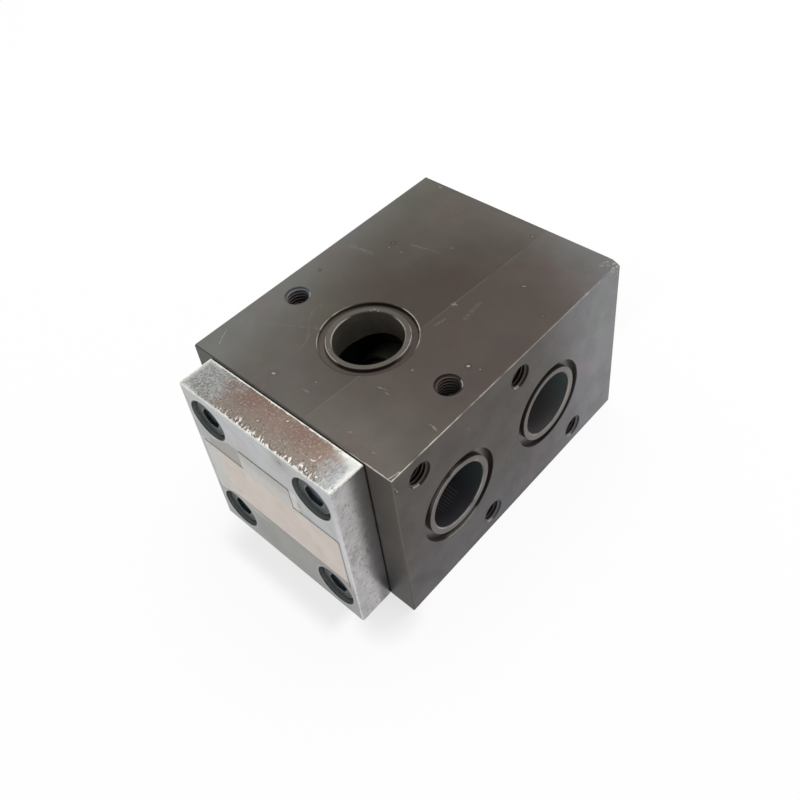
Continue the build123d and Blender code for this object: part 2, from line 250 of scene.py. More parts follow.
def band(value, low, high, soft=0.15):
    """1 between two values in millimetres, with soft sides."""
    return between(value, (low - soft) * mm, (low + soft) * mm, (high - soft) * mm, (high + soft) * mm)


# %% [markdown]
# Colours are blended by a mask. `paint` lays a tone over a base where its masks hold, and `tint`
# darkens or colours the base there. The masks come from where a point lies and from soft noise.

# %% Helpers for colours and textures
def mix(amount, first, second, way="MIX"):
    """Blends two colours."""
    made = add("Mix", {}, data_type="RGBA", blend_type=way)
    feed(made.inputs[0], amount)
    feed(made.inputs[6], first)
    feed(made.inputs[7], second)
    return made.outputs[2]


def paint(base, tone, *masks):
    """A base with a tone laid over it, as strongly as the masks together say."""
    return mix(times(*masks), base, tone)


def tint(base, tone, *masks):
    """A base multiplied by a tone, which keeps what lies under it visible."""
    return mix(times(*masks), base, tone, "MULTIPLY")


def noise(place, scale, detail=2.0, roughness=0.5):
    """Soft random spots from 0 to 1, with scale spots to the metre."""
    inputs = {"Vector": place, "Scale": scale, "Detail": detail, "Roughness": roughness}
    return add("TexNoise", inputs).outputs[0]


def object_place():
    """Where a point lies in the shared frame."""
    return add("TexCoord", {}).outputs["Object"]


def stretched(place, longer, turn=(0, 0, 0)):
    """The place turned and then squeezed, so that spots on it become strokes."""
    inputs = {"Vector": place, "Rotation": turn, "Scale": longer}
    return add("Mapping", inputs, vector_type="TEXTURE").outputs[0]


# %% [markdown]
# `new_group` and `new_material` start a fresh tree and make it the one in hand. What is then
# added belongs to it, until the next one is started. Each finish of the valve ends in
# `fill_shader`.

# %% Helpers for groups, materials and objects
def new_group(name, inputs, *outputs):
    """An empty node group, as (group, inputs, outputs). A tuple makes a vector input."""
    global tree
    tree = bpy.data.node_groups.new(name, "ShaderNodeTree")
    for label, start in inputs.items():
        kind = "NodeSocketVector" if isinstance(start, tuple) else "NodeSocketFloat"
        tree.interface.new_socket(name=label, in_out="INPUT", socket_type=kind).default_value = start
    for label in outputs:
        tree.interface.new_socket(name=label, in_out="OUTPUT", socket_type="NodeSocketFloat")
    print("group:", name)
    return tree, tree.nodes.new("NodeGroupInput").outputs, tree.nodes.new("NodeGroupOutput").inputs


def use(group, inputs):
    """Places a group in the tree with its own values, and returns its outputs."""
    made = add("Group", {}, node_tree=group)
    for key, value in inputs.items():
        feed(made.inputs[key], value)
    return made.outputs


def new_material(name):
    """A fresh material and its Principled shader."""
    global tree
    made = bpy.data.materials.new(name)
    made.use_nodes = True
    tree = made.node_tree
    return made, tree.nodes["Principled BSDF"]


def fill_shader(shader, base, roughness, metallic, height, strength, depth):
    """Feeds the four sockets that each finish sets. The bump is depth millimetres high."""
    bumps = add("Bump", {"Strength": strength, "Distance": depth * mm, "Height": height}).outputs[0]
    feed(shader.inputs["Base Color"], base)
    feed(shader.inputs["Roughness"], roughness)
    feed(shader.inputs["Metallic"], metallic)
    feed(shader.inputs["Normal"], bumps)


def dress(material, *node_names):
    """Gives solids their material. Their meshes stay as they came."""
    for name in node_names:
        slots = frame["nodes"][name].data.materials
        slots.clear()
        slots.append(material)
    print(material.name, "on", ", ".join(node_names))


def new_object(name, bm):
    """A finished shape as an object of the scene."""
    mesh = bpy.data.meshes.new(name)
    bm.to_mesh(mesh)
    bm.free()
    made = bpy.data.objects.new(name, mesh)
    scene.collection.objects.link(made)
    return made


# %% [markdown]
# ## Effects that several finishes share
#
# **Depth under the skin.** A block's faces are at known places, so the distance to each pair of
# them is known too, and no bake is needed. The smallest of the three is the depth under the skin,
# which is above nought only in bores and holes. The second smallest is the distance to the
# nearest edge, where handling rubs a surface first.

# %% Box edges group
origin = (0, 0, 0)
box_edges, entry, result = new_group(
    "box_edges",
    {"Low corner": origin, "High corner": origin, "Width": 0.4 * mm, "Ragged": 0.5,
     "Raggedness scale": 500.0},
    "Mask", "Depth", "Edge distance")
place = object_place()
from_low = vectors("SUBTRACT", place, entry["Low corner"])
from_high = vectors("SUBTRACT", entry["High corner"], place)
nearest = apart(vectors("MINIMUM", from_low, from_high))
smallest = in_turn("MINIMUM", nearest)
second = minus(minus(plus(*nearest), smallest), strongest(nearest))
rag = minus(noise(place, entry["Raggedness scale"], 4.0, 0.7), 0.5)
worn = plus(second, times(rag, entry["Ragged"], entry["Width"], 8.0))
feed(result["Mask"], fade(worn, entry["Width"], times(entry["Width"], 0.5)))
feed(result["Depth"], smallest)
feed(result["Edge distance"], second)

# %% [markdown]
# ** One edge.** Edges don't wear alike, and the bright lines drawn along them are partly painted highlight: the one that is gripped shines, and its neighbour hardly does. This group follows a single edge through `Corner`. `Across` is 1 on the two axes that the edge doesn't run along, and the larger of those two distances is nought on the edge and grows evenly on both of its faces.

# %% Edge line group
edge_line, entry, result = new_group(
    "edge_line",
    {"Corner": origin, "Across": (1, 0, 1), "Width": 0.4 * mm, "Ragged": 1.0, "Raggedness scale": 500.0},
    "Mask", "Distance")
place = object_place()
arm = vectors("ABSOLUTE", vectors("SUBTRACT", place, entry["Corner"]))
distance = strongest(apart(vectors("MULTIPLY", arm, entry["Across"])))
rag = minus(noise(place, entry["Raggedness scale"], 3.0, 0.65), 0.5)
worn = plus(distance, times(rag, entry["Ragged"], entry["Width"], 5.0))
feed(result["Mask"], fade(worn, entry["Width"], times(entry["Width"], 0.55)))
feed(result["Distance"], distance)


def worn_and_lit_edge(corner, across, width, ragged, scale):
    """One edge with its own wear and painted highlight. The width is in millimetres."""
    return use(edge_line, {"Corner": corner, "Across": across, "Width": width * mm, "Ragged": ragged,
                           "Raggedness scale": scale})


# %% [markdown]
# **Round lines.** The rims of ports and grooves catch the light as thin rings. A ring is where
# the distance from the port's axis is close to a radius: `Across` is 1 on the two axes of the
# port's face and 0 on the axis it points along. A rim seldom shines all the way round, so `Side`
# says how far a point lies towards one direction, from -1 to 1, and turns a ring into an arc.

# %% Round line group
round_line, entry, result = new_group(
    "round_line",
    {"Centre": origin, "Across": (1, 1, 0), "Radius": 14 * mm, "Width": 0.3 * mm, "Towards": (1, 0, 0)},
    "Mask", "Distance", "Side")
place = object_place()
arm = vectors("MULTIPLY", vectors("SUBTRACT", place, entry["Centre"]), entry["Across"])
distance = vectors("LENGTH", arm)
off_line = maths("ABSOLUTE", minus(distance, entry["Radius"]))
feed(result["Mask"], fade(off_line, entry["Width"], 0.0))
feed(result["Distance"], distance)
pointing = vectors("DOT_PRODUCT", vectors("NORMALIZE", arm), entry["Towards"])
feed(result["Side"], pointing)


def from_axis(centre, across):
    """The distance from a round feature's axis."""
    return use(round_line, {"Centre": centre, "Across": across})["Distance"]


def arc(centre, across, radius, width, towards, spread):
    """A ring that is strongest towards one direction and gone where Side falls under the spread."""
    ring = use(round_line, {"Centre": centre, "Across": across, "Radius": radius * mm,
                            "Width": width * mm, "Towards": Vector(towards).normalized()})
    return times(ring["Mask"], fade(ring["Side"], spread, 0.95))


# %% [markdown]
# **Scratches.** A scratch has two ends and a width, so its mask is the distance to the line
# between them. The place comes in already bent by a little noise, which keeps the line from being
# ruler straight. A nick is a scratch whose ends lie together. `Halo` is the wider zone round it,
# where the skin is bruised or dirt has settled.

# %% Scratch group
scratch, entry, result = new_group(
    "scratch", {"Place": origin, "Start": origin, "End": origin, "Width": 0.3 * mm}, "Mask", "Halo")
along = vectors("SUBTRACT", entry["End"], entry["Start"])
from_start = vectors("SUBTRACT", entry["Place"], entry["Start"])
length_squared = maths("MAXIMUM", vectors("DOT_PRODUCT", along, along), 1e-9)
share = maths("DIVIDE", vectors("DOT_PRODUCT", from_start, along), length_squared)
share = maths("MINIMUM", maths("MAXIMUM", share, 0.0), 1.0)
foot = vectors("SCALE", along)
feed(foot.node.inputs["Scale"], share)
gap = vectors("LENGTH", vectors("SUBTRACT", from_start, foot))
width = entry["Width"]
feed(result["Mask"], fade(gap, width, times(width, 0.2)))
feed(result["Halo"], fade(gap, times(width, 3.2), times(width, 1.2)))


def scratches(marks):
    """A bright mask and a dark halo of many scratches: start, end, width, brightness, any halo."""
    place = object_place()
    wander = add("TexNoise", {"Vector": place, "Scale": 420.0, "Detail": 2.0}).outputs[1]
    wander = vectors("SCALE", vectors("SUBTRACT", wander, (0.5, 0.5, 0.5)))
    wander.node.inputs["Scale"].default_value = 0.0011
    bent_place = vectors("ADD", place, wander)
    broken = fade(noise(place, 900.0, 2.0), 0.3, 0.62)
    bright, halos = [], []
    for start, end, width, strength, *dark in marks:
        ends = {"Start": Vector(start) * mm, "End": Vector(end) * mm}
        one = use(scratch, {"Place": bent_place, "Width": width * mm, **ends})
        if strength:
            bright.append(times(one["Mask"], strength))
        if dark:
            halos.append(times(one["Halo"], *dark))
    return times(strongest(bright), broken), strongest(halos)


def marks_on(axis, level, rows):
    """Scratches on a flat face, from rows of two flat places, width, brightness and any halo."""
    marks = []
    for a, b, c, d, *look in rows:
        start, end = [a, b], [c, d]
        start.insert(axis, level)
        end.insert(axis, level)
        marks.append((start, end, *look))
    return marks


# %% [markdown]
# **Hairlines.** Besides the few deep scratches there are many hair-thin ones that only show where
# light rakes them. A noise stretched along one direction has long contour lines, and keeping only
# the values next to one half leaves thin wandering strokes. A second, coarser noise thins them
# out so that they come in patches.

# %% Hairline group
hairlines, entry, result = new_group(
    "hairlines", {"Place": origin, "Spacing": 90.0, "Thinness": 0.006}, "Mask")
lines = noise(entry["Place"], entry["Spacing"], 1.0)
lines = fade(maths("ABSOLUTE", minus(lines, 0.5)), entry["Thinness"], 0.0)
patch_spacing = times(entry["Spacing"], 0.31)
patches = fade(noise(entry["Place"], patch_spacing, 0.0), 0.55, 0.68)
feed(result["Mask"], times(lines, patches))

# %% [markdown]
# **Flecks.** Pits in plating, dust and small chips are round dots strewn at random. A Voronoi
# texture gives each cell a centre and a random colour: the centre makes the dot, one part of the
# colour decides whether this cell has a dot at all, and another how large it is.

# %% Fleck group
flecks, entry, result = new_group(
    "flecks", {"Place": origin, "Spacing": 300.0, "Size": 0.25, "Share": 0.3}, "Mask")
cells = add("TexVoronoi", {"Vector": entry["Place"], "Scale": entry["Spacing"]}, feature="F1").outputs
chance = apart(cells["Color"])
size = times(entry["Size"], plus(chance[1], 0.4))
dot = fade(cells["Distance"], size, times(size, 0.5))
chosen = maths("LESS_THAN", chance[0], entry["Share"])
feed(result["Mask"], times(dot, chosen))


def strewn(place, spacing, size, share):
    """Dots, with spacing cells to the metre and a dot in about that share of them."""
    return use(flecks, {"Place": place, "Spacing": spacing, "Size": size, "Share": share})[0]


# %% [markdown]
# ## Threads
#
# The tapped holes come as plain holes, because a real thread would make the solid needlessly
# heavy. In the photograph the turns of the thread are what tells a tapped hole from a drilled
# one, so each visible hole gets its thread as a piece of its own: a blunt tooth as profile,
# spun about the hole's axis while it moves inwards, which is what `spin` does when it is given
# `dvec`. The root is sunk a hair into the wall, so that no gap shows, and the blunt start of the
# ridge is turned to the wall of the hole that hides behind its own rim.

# %% Cut the threads
thread_pitch = 1.5 * mm
thread_root = 5.03 * mm
thread_crest = 4.25 * mm
thread_start = 0.5 * mm
thread_start_side = Vector((0.5, -0.55, 0.67))
root_half = 0.66 * mm
crest_half = 0.12 * mm
steps_a_turn = 28
thread_turns = {"top": 12, "near": 8, "far": 8}


def cut_thread(name, mouth, outward, turns):
    """A helical ridge that lines one tapped hole."""
    bm = bmesh.new()
    side = (thread_start_side - outward * thread_start_side.dot(outward)).normalized()
    start = mouth - outward * thread_start
    corners = [(thread_root, -root_half), (thread_crest, -crest_half),
               (thread_crest, crest_half), (thread_root, root_half)]
    profile = bm.faces.new([bm.verts.new(start + side * out + outward * up) for out, up in corners])
    bmesh.ops.spin(bm, geom=[profile, *profile.edges, *profile.verts], cent=mouth, axis=outward,
                   dvec=-outward * thread_pitch / steps_a_turn, angle=math.tau * turns,
                   steps=steps_a_turn * turns, use_merge=False)
    bmesh.ops.remove_doubles(bm, verts=bm.verts, dist=0.001 * mm)
    bmesh.ops.recalc_face_normals(bm, faces=bm.faces)
    piece = new_object(name, bm)
    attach(piece, "housing")
    return piece


threads = [cut_thread("thread_" + name, mouth, outward, thread_turns[name.split("_")[0]])
           for name, (mouth, outward) in tapped_holes().items()]
print("threads:", len(threads), "with", sum(len(piece.data.polygons) for piece in threads), "faces")

# %% [markdown]
# ## The anodised block
#
# The block is aluminium with a hard, dark anodised skin. Its colour isn't even: brown in the middle of the top,
# greener and paler to the left and towards the cover, bluer at the far end. Anodising comes out in such clouds,
# and the paler and bluer tones are also partly painted reflection, standing in for the room that the satin top
# mirrors. It is satin, part metal and part skin, so the Principled shader gets a middling Metallic value.
#
# The clouds are laid down face by face. `outside` grows with the distance from the dark middle
# of the top, bent by noise, and where it holds the skin is paler, in a tone for its own corner.

# %% Tones of the block's top
block_finish, shader = new_material("anodised_block")
place = object_place()
x, y, z = apart(place)
edges = use(box_edges, {"Low corner": block_low, "High corner": block_high, "Width": 0.42 * mm,
                        "Ragged": 0.35, "Raggedness scale": 420.0})
cloud = noise(place, 24.0, 3.0, 0.6)
mottle = noise(place, 85.0, 4.0, 0.65)
hue = noise(vectors("ADD", place, (0.31, 0.17, 0.05)), 40.0, 2.0)

brown = (0.066, 0.05, 0.042)
back_tone = (0.11, 0.1, 0.084)
front_tone = (0.122, 0.11, 0.096)
green_grey = (0.172, 0.173, 0.16)
blue_grey = (0.182, 0.189, 0.192)
dark_middle = (0.027, 0.010, 0.08)


def bent(value, amount):
    """A distance in metres that wanders with the clouds, by up to the amount in millimetres."""
    return plus(value, times(minus(cloud, 0.5), amount * 2 * mm))


arm = vectors("MULTIPLY", vectors("SUBTRACT", place, dark_middle), (0.85, 0.9, 0.0))
outside = fade(bent(vectors("LENGTH", arm), 18), 0.02, 0.068)
# The pale tones round the brown middle, and the lighter back and darker front right of the top below, are partly
# painted reflection.
pale = mix(fade(bent(y, 10), 0.0, -0.04), back_tone, front_tone)
towards_left = plus(x, times(y, 0.2))
pale = paint(pale, green_grey, fade(bent(towards_left, 12), -0.024, -0.055))
pale = paint(pale, blue_grey, fade(bent(plus(x, y), 16), 0.07, 0.118))
skin = mix(outside, brown, pale)
skin = tint(skin, (1.12, 1.12, 1.14), fade(y, 0.056, 0.069), fade(x, 0.034, 0.022))
skin = tint(skin, (0.8, 0.79, 0.79), fade(bent(x, 3), 0.034, 0.046), fade(y, 0.024, 0.008))
print("tones of the top: brown, back, front, green grey and blue grey")

# %% [markdown]
# The side with the ports is darkest near the cover and turns to a pale bluish grey behind the far port; this
# change is partly painted reflection of what the satin side mirrors. The strip beside the cover, which hands and
# light hardly reach, is painted dark, partly as painted shade, and nearly black along the joint.

# %% Tones of the other faces
on_top = fade(z, block_high.z - 0.8 * mm, block_high.z - 0.3 * mm)
on_right = fade(x, block_high.x - 0.8 * mm, block_high.x - 0.3 * mm)
on_front = fade(y, joint_y + 0.7 * mm, joint_y + 0.3 * mm)
low_down = fade(z, 0.045, 0.004)
far_end = fade(bent(y, 8), 0.012, 0.062)
low_front = times(low_down, minus(0.8, times(far_end, 0.65)))
# From dark near the cover to pale bluish grey at the back: partly painted reflection.
side_tone_and_reflection = mix(far_end, (0.066, 0.053, 0.046), (0.215, 0.213, 0.226))
side_tone_and_reflection = paint(side_tone_and_reflection, (0.1, 0.092, 0.102), low_front)
# The strip is painted dark, partly as painted shade where the cover keeps light off it.
strip_shade_tone = mix(low_down, (0.076, 0.064, 0.05), (0.056, 0.052, 0.056))
strip_shade_tone = paint(strip_shade_tone, (0.084, 0.077, 0.058), fade(mottle, 0.45, 0.62))
other_tone = mix(fade(cloud, 0.3, 0.65), (0.088, 0.074, 0.066), (0.12, 0.114, 0.1))
joint_dirt = fade(minus(x, plate_high.x), 0.0009, 0.0004)
strip_shade_tone = paint(strip_shade_tone, (0.012, 0.011, 0.008), joint_dirt, 0.8)
upright = fade(edges["Depth"], 0.0005, 0.0)
skin = paint(skin, other_tone, upright, minus(1.0, on_top))
skin = paint(skin, side_tone_and_reflection, on_right)
skin = paint(skin, strip_shade_tone, on_front)
skin = tint(skin, (0.86, 0.86, 0.86), fade(mottle, 0.3, 0.7))
skin = tint(skin, (1.03, 0.94, 0.95), fade(hue, 0.56, 0.68))
skin = tint(skin, (0.97, 1.03, 0.96), fade(hue, 0.44, 0.32))
print("tones of the side and of the strip beside the cover done")

# %% [markdown]
# Two passes of the milling cutter meet on the top: a faint line runs from the far edge past the
# port to the cover, not quite square to the block, and the sheen differs a little on its sides.

# %% The milling line
pass_start = 0.0123
pass_slope = 0.056
off_pass = minus(x, plus(times(y, pass_slope), pass_start))
pass_line = times(fade(maths("ABSOLUTE", off_pass), 0.0004, 0.0), on_top, fade(mottle, 0.36, 0.56))
# Right of the line the top gets a slightly paler tone, a painted sheen.
skin = paint(skin, (0.22, 0.2, 0.18), fade(off_pass, -0.0002, 0.0002), on_top, 0.06)
skin = paint(skin, (0.34, 0.31, 0.28), pass_line, 0.15)
print("milling line from x in mm:", round(pass_start / mm, 1))

# %% [markdown]
# The marks of use come next. Each is written where it lies on its face, in millimetres: two ends,
# a width, how bright the bared metal is, and where there is one how dark the bruise round it.
# They are few and uneven, and most are hardly longer than wide. The short bright ones on the rims of the top port
# and the near port are painted glints rather than bared metal.

# %% Marks on the top and the side
top_marks = marks_on(2, 80.0, [
    (-15.3, -49.1, -14.5, -48.8, 0.6, 0.75, 0.2),
    (-22.9, 33.3, -16.7, 34.9, 0.6, 0.12),
    (-16.7, 34.9, -10.7, 35.6, 0.4, 0.08),
    (-42.9, 18.2, -33.1, 19.8, 1.3, 0.1),
    (-30.1, 29.8, -29.8, 29.9, 0.5, 0.35, 0.6),
    (-30.1, 26.4, -29.3, 26.9, 0.35, 0.35, 0.3),
    (-23.6, 27.3, -22.9, 27.0, 0.3, 0.35),
    (-8.5, 41.1, -7.6, 41.6, 0.35, 0.3),
    (-39.9, 70.2, -39.2, 70.3, 0.5, 0.45),
    (21.9, 12.7, 20.9, 22.7, 1.2, 0.06),
    (12.8, 15.9, 14.2, 16.6, 0.9, 0.3),
    (13.2, 17.2, 13.9, 15.4, 0.6, 0.25),
    (15.5, 3.5, 15.9, 8.3, 0.8, 0.09),
    (-46.3, -45.1, -42.6, -51.5, 0.35, 0.42),
    (-46.2, -38.4, -14.5, -21.5, 0.4, 0.06),
    (-42.4, 0.1, -42.2, 0.1, 0.4, 0.0, 0.55),
    (13.0, 65.6, 13.2, 65.7, 0.5, 0.65, 0.3),
    (28.3, 39.4, 29.0, 40.0, 0.45, 0.45, 0.2),
    (43.5, 30.6, 43.8, 30.8, 0.5, 0.75, 0.3),
    (37.8, -5.1, 38.1, -4.9, 0.5, 0.75, 0.4),
    (42.0, -3.9, 42.3, -3.6, 0.45, 0.4, 0.2),
    (19.3, -31.2, 23.3, -30.2, 0.5, 0.24, 0.1),
    (22.9, -31.3, 24.6, -31.6, 0.4, 0.18),
    (-1.2, -47.8, 1.5, -47.5, 0.5, 0.16),
    (12.4, -27.0, 12.9, -26.8, 0.35, 0.22),
    (25.2, -51.4, 26.0, -51.0, 0.5, 0.25),
    (37.3, -53.0, 38.0, -52.5, 0.5, 0.26),
    (44.6, -32.6, 47.7, -33.2, 0.5, 0.28),
    # The rows from here to the one at (13.5, -5.5) are painted glints on the top port's rims.
    (-7.5, -28.9, -7.1, -28.8, 0.4, 0.5),
    (-9.5, -4.8, -9.1, -4.6, 0.45, 0.75),
    (-8.9, -3.6, -8.6, -3.4, 0.45, 0.95),
    (-7.2, -3.6, -6.8, -3.5, 0.4, 0.75),
    (7.1, -31.2, 7.5, -31.0, 0.4, 0.55),
    (13.5, -5.5, 13.7, -5.3, 0.45, 0.8),
    (48.5, -57.0, 49.4, -53.2, 0.35, 0.75),
    (45.0, 66.2, 45.4, 66.6, 0.8, 0.35),
])
side_marks = marks_on(0, 50.0, [
    (-56.8, 75.6, -56.5, 74.9, 0.35, 0.65, 0.3),
    (-56.0, 73.8, -55.7, 72.6, 0.35, 0.75, 0.3),
    (-56.3, 70.6, -55.9, 70.2, 0.3, 0.35),
    (-54.6, 18.1, -42.1, 6.3, 0.9, 0.0, 0.3),
    (-30.0, 3.0, -12.0, 2.0, 0.8, 0.0, 0.1),
    # The next two rows are painted glints on the near port's rim and land.
    (-17.7, 50.1, -17.0, 49.9, 0.55, 0.95),
    (-18.0, 52.8, -17.4, 52.6, 0.4, 0.6),
    (-20.3, 69.9, -20.0, 69.5, 0.3, 0.35),
    (16.0, 62.5, 16.4, 62.1, 0.35, 0.3),
    (33.0, 12.0, 36.0, 8.0, 0.4, 0.12),
])
print("marks on the block:", len(top_marks) + len(side_marks))

# %% Scratches, hairlines and dust
marks_and_glints, halos = scratches(top_marks + side_marks)
fine_marks = strongest([
    use(hairlines, {"Place": stretched(place, longer, (0, 0, math.radians(angle))), "Spacing": spacing,
                    "Thinness": thinness})[0]
    for longer, angle, spacing, thinness in (((1, 8, 1), 28, 150.0, 0.007), ((7, 1, 1), -12, 110.0, 0.005))])
dust = strewn(place, 170.0, 0.08, 0.16)
skin = tint(skin, (0.45, 0.43, 0.43), halos)
skin = paint(skin, (0.42, 0.4, 0.37), fine_marks, 0.045)
skin = paint(skin, (0.5, 0.46, 0.42), dust, 0.22)
skin = paint(skin, (0.56, 0.53, 0.48), marks_and_glints)
print("scratches, hairlines and dust added")

# %% [markdown]
# Each edge gets its own wear, and its bright line is partly painted highlight, a band of colour in place of the
# light that a rounded edge would catch. The one between the top and the ports is a continuous cream line, bright
# at the cover end. The one above the cover shines mostly at its right end. The far right corner was knocked, so it
# is strewn with bright grains, and everywhere else the tiny chamfer is painted a shade darker than the faces, as
# painted shade.

# %% Worn edges of the block
right_edge = worn_and_lit_edge(block_high, (1, 0, 1), 0.36, 0.22, 330.0)
front_edge = worn_and_lit_edge((0, joint_y, block_high.z), (0, 1, 1), 0.36, 0.25, 330.0)
upright_edge = worn_and_lit_edge((block_high.x, joint_y, 0), (1, 1, 0), 0.34, 0.3, 240.0)
shine_right = plus(times(fade(y, 0.03, -0.045), 0.62), 0.3)
shine_right = times(shine_right, fade(noise(place, 75.0, 2.0), 0.22, 0.5))
shine_front = plus(times(fade(x, 0.022, 0.046), 0.75), 0.12)
shine_upright = times(fade(z, 0.004, 0.05), 0.09)
from_knock = vectors("LENGTH", vectors("SUBTRACT", place, block_high))
knocked = times(strewn(place, 850.0, 0.5, 0.55), fade(from_knock, 0.0085, 0.003))
chips = strewn(stretched(place, (1.0, 2.5, 1.0)), 420.0, 0.6, 0.6)
chip_zone = times(fade(right_edge["Distance"], 0.0016, 0.0003), between(y, 0.046, 0.052, 0.06, 0.064))
bare_and_highlit_spots = [times(right_edge["Mask"], shine_right), times(front_edge["Mask"], shine_front),
              times(upright_edge["Mask"], shine_upright), times(knocked, 0.5),
              times(chips, chip_zone, 0.45), times(edges["Mask"], 0.05)]
bare = strongest(bare_and_highlit_spots)
# The chamfer's darker tone is painted shade.
skin = tint(skin, (0.42, 0.4, 0.38), fade(edges["Edge distance"], 0.00035, 0.0001), 0.55)
skin = paint(skin, (0.74, 0.68, 0.6), bare)
print("kinds of bare spots on the block:", len(bare_and_highlit_spots))

# %% [markdown]
# Each port has a land round its mouth and a seal groove round the land. The lands were turned last and are a shade
# paler than the face. Where a rim faces the light it gets a thin arc of painted highlight, and the corner of the
# groove on the shaded side gets painted shade.

# %% Lands, grooves and rims
port_rim = port_radius / mm + 0.2
flat, upright_face = (1, 1, 0), (0, 1, 1)
depth = edges["Depth"]
top_distance = from_axis(top_port, flat)
side_distances = [from_axis(port, upright_face) for port in (near_port, far_port)]
top_land = times(band(top_distance, port_rim - 0.3, 15.9), on_top)
side_lands = times(strongest([band(one, port_rim - 0.3, 16.05) for one in side_distances]), on_right)
skin = paint(skin, (0.15, 0.14, 0.12), top_land, 0.35)
skin = paint(skin, (0.165, 0.152, 0.14), side_lands, 0.55)

on_land = fade(depth, 0.0016, 0.0009)
bright_arcs = [arc(top_port, flat, port_rim, 0.34, (-0.92, -0.38, 0), 0.72),
               arc(top_port, flat, port_rim, 0.34, (0.6, 0.8, 0), 0.74),
               arc(top_port, flat, 18.95, 0.32, (-0.96, -0.26, 0), 0.66),
               arc(top_port, flat, 18.95, 0.34, (0.52, 0.85, 0), 0.68),
               arc(top_port, flat, 15.8, 0.28, (-0.46, -0.89, 0), 0.86),
               arc(top_port, flat, 15.8, 0.28, (0.89, 0.46, 0), 0.78),
               arc(near_port, upright_face, port_rim, 0.36, (0, -1, 0.1), 0.1),
               arc(near_port, upright_face, port_rim, 0.4, (0, 0.4, 0.9), 0.7),
               arc(near_port, upright_face, port_rim, 0.36, (0, 0.35, -0.93), 0.3),
               arc(near_port, upright_face, 15.9, 0.34, (0, -0.5, 0.87), 0.72),
               arc(near_port, upright_face, 19.2, 0.34, (0, 0, -1), 0.86),
               arc(far_port, upright_face, port_rim, 0.36, (0, -1, 0.1), 0.1),
               arc(far_port, upright_face, port_rim, 0.36, (0, 0.6, -0.8), 0.2)]
arc_side = strongest([fade(z, 0.07, 0.075), fade(x, 0.04, 0.045)])
rims = times(strongest(bright_arcs), on_land, arc_side, fade(noise(place, 150.0, 2.0), 0.25, 0.5))
groove_shade_arcs = strongest([arc(top_port, flat, 18.5, 0.55, (0.2, 1, 0), -0.1),
                       arc(top_port, flat, 16.15, 0.6, (0.3, -1, 0), -0.1)])
skin = tint(skin, (0.16, 0.13, 0.11), groove_shade_arcs, fade(depth, 0.0001, 0.0004), 0.85)
# A thin dark ring of painted shade lines the rims wherever no highlight lies.
rim_rings = strongest([band(top_distance, 18.75, 19.1, 0.12),
                       band(top_distance, port_rim - 0.2, port_rim + 0.25, 0.1)])
skin = tint(skin, (0.25, 0.23, 0.21), rim_rings, on_land, minus(1.0, rims), 0.75)
skin = paint(skin, (0.62, 0.58, 0.51), rims, 0.62)
print("port rims in mm:", round(port_rim, 2), "arcs:", len(bright_arcs))

# %% [markdown]
# Inside, the skin is thinner and oil lies on it. The wall of the top port is a dull brownish
# grey, the side ports are bluish, and the bore behind them is nearly black with a hint of teal.
# In the near port the drill left chatter marks, which show as pale strokes along its wall. The side's seal grooves
# are painted dark as shade, and only their floors, and their upper and lower ends where light reaches in, show a
# little of the grey as painted light.

# %% Oily insides
port_masks = [fade(distance, 14.5 * mm, 14.1 * mm) for distance in (top_distance, *side_distances)]
in_port = times(strongest(port_masks), fade(depth, 0.0004, 0.001))
inside = strongest([in_port, fade(depth, 0.0016, 0.0026)])
top_wall = mix(fade(mottle, 0.4, 0.65), (0.145, 0.125, 0.102), (0.105, 0.098, 0.084))
low_in_port = fade(z, 0.036, 0.027)
near_wall = mix(low_in_port, (0.072, 0.092, 0.092), (0.074, 0.07, 0.084))
far_wall = mix(low_in_port, (0.14, 0.168, 0.168), (0.155, 0.142, 0.14))
side_wall = mix(fade(y, -0.006, 0.004), near_wall, far_wall)
chatter_spacing = 1.3 * mm
chatter = plus(times(y, math.tau / chatter_spacing), times(mottle, 5.0))
chatter = times(fade(maths("SINE", chatter), 0.1, 0.9), between(x, 0.033, 0.036, 0.041, 0.045),
                between(y, -0.0325, -0.0295, -0.0215, -0.019), low_in_port)
side_wall = paint(side_wall, (0.26, 0.25, 0.25), chatter, 0.5)
wall = mix(fade(x, 0.018, 0.026), top_wall, side_wall)
wall = paint(wall, (0.085, 0.15, 0.165), fade(depth, 0.0135, 0.0165))
skin = paint(skin, wall, inside)

groove_zone = strongest([band(distance, 16.15, 19.1) for distance in side_distances])
groove_zone = times(groove_zone, between(x, 0.0455, 0.046, 0.0494, 0.0498))
groove_shade_tone = mix(fade(x, 0.0492, 0.0478), (0.022, 0.018, 0.016), (0.1, 0.088, 0.08))
lit_groove_ends = []
for centre in (near_port, far_port):
    for direction in ((0, 0.5, 0.86), (0, -0.65, -0.76)):
        ring = use(round_line, {"Centre": centre, "Across": upright_face, "Towards": direction})
        lit_groove_ends.append(times(fade(ring["Side"], 0.86, 0.97), fade(ring["Distance"], 0.02, 0.0195)))
groove_shade_tone = paint(groove_shade_tone, (0.13, 0.118, 0.112), strongest(lit_groove_ends), 0.8)
skin = paint(skin, groove_shade_tone, groove_zone)
print("chatter spacing in mm:", round(chatter_spacing / mm, 1))

# %% [markdown]
# The tapped holes are painted dark, and darker still with depth, as painted shade. Only the crests of their
# threads on one side of the wall keep a little shine, a painted highlight, and each mouth has a small painted
# glint. The lower holes of the side and the left one on top are given a bluish tone.

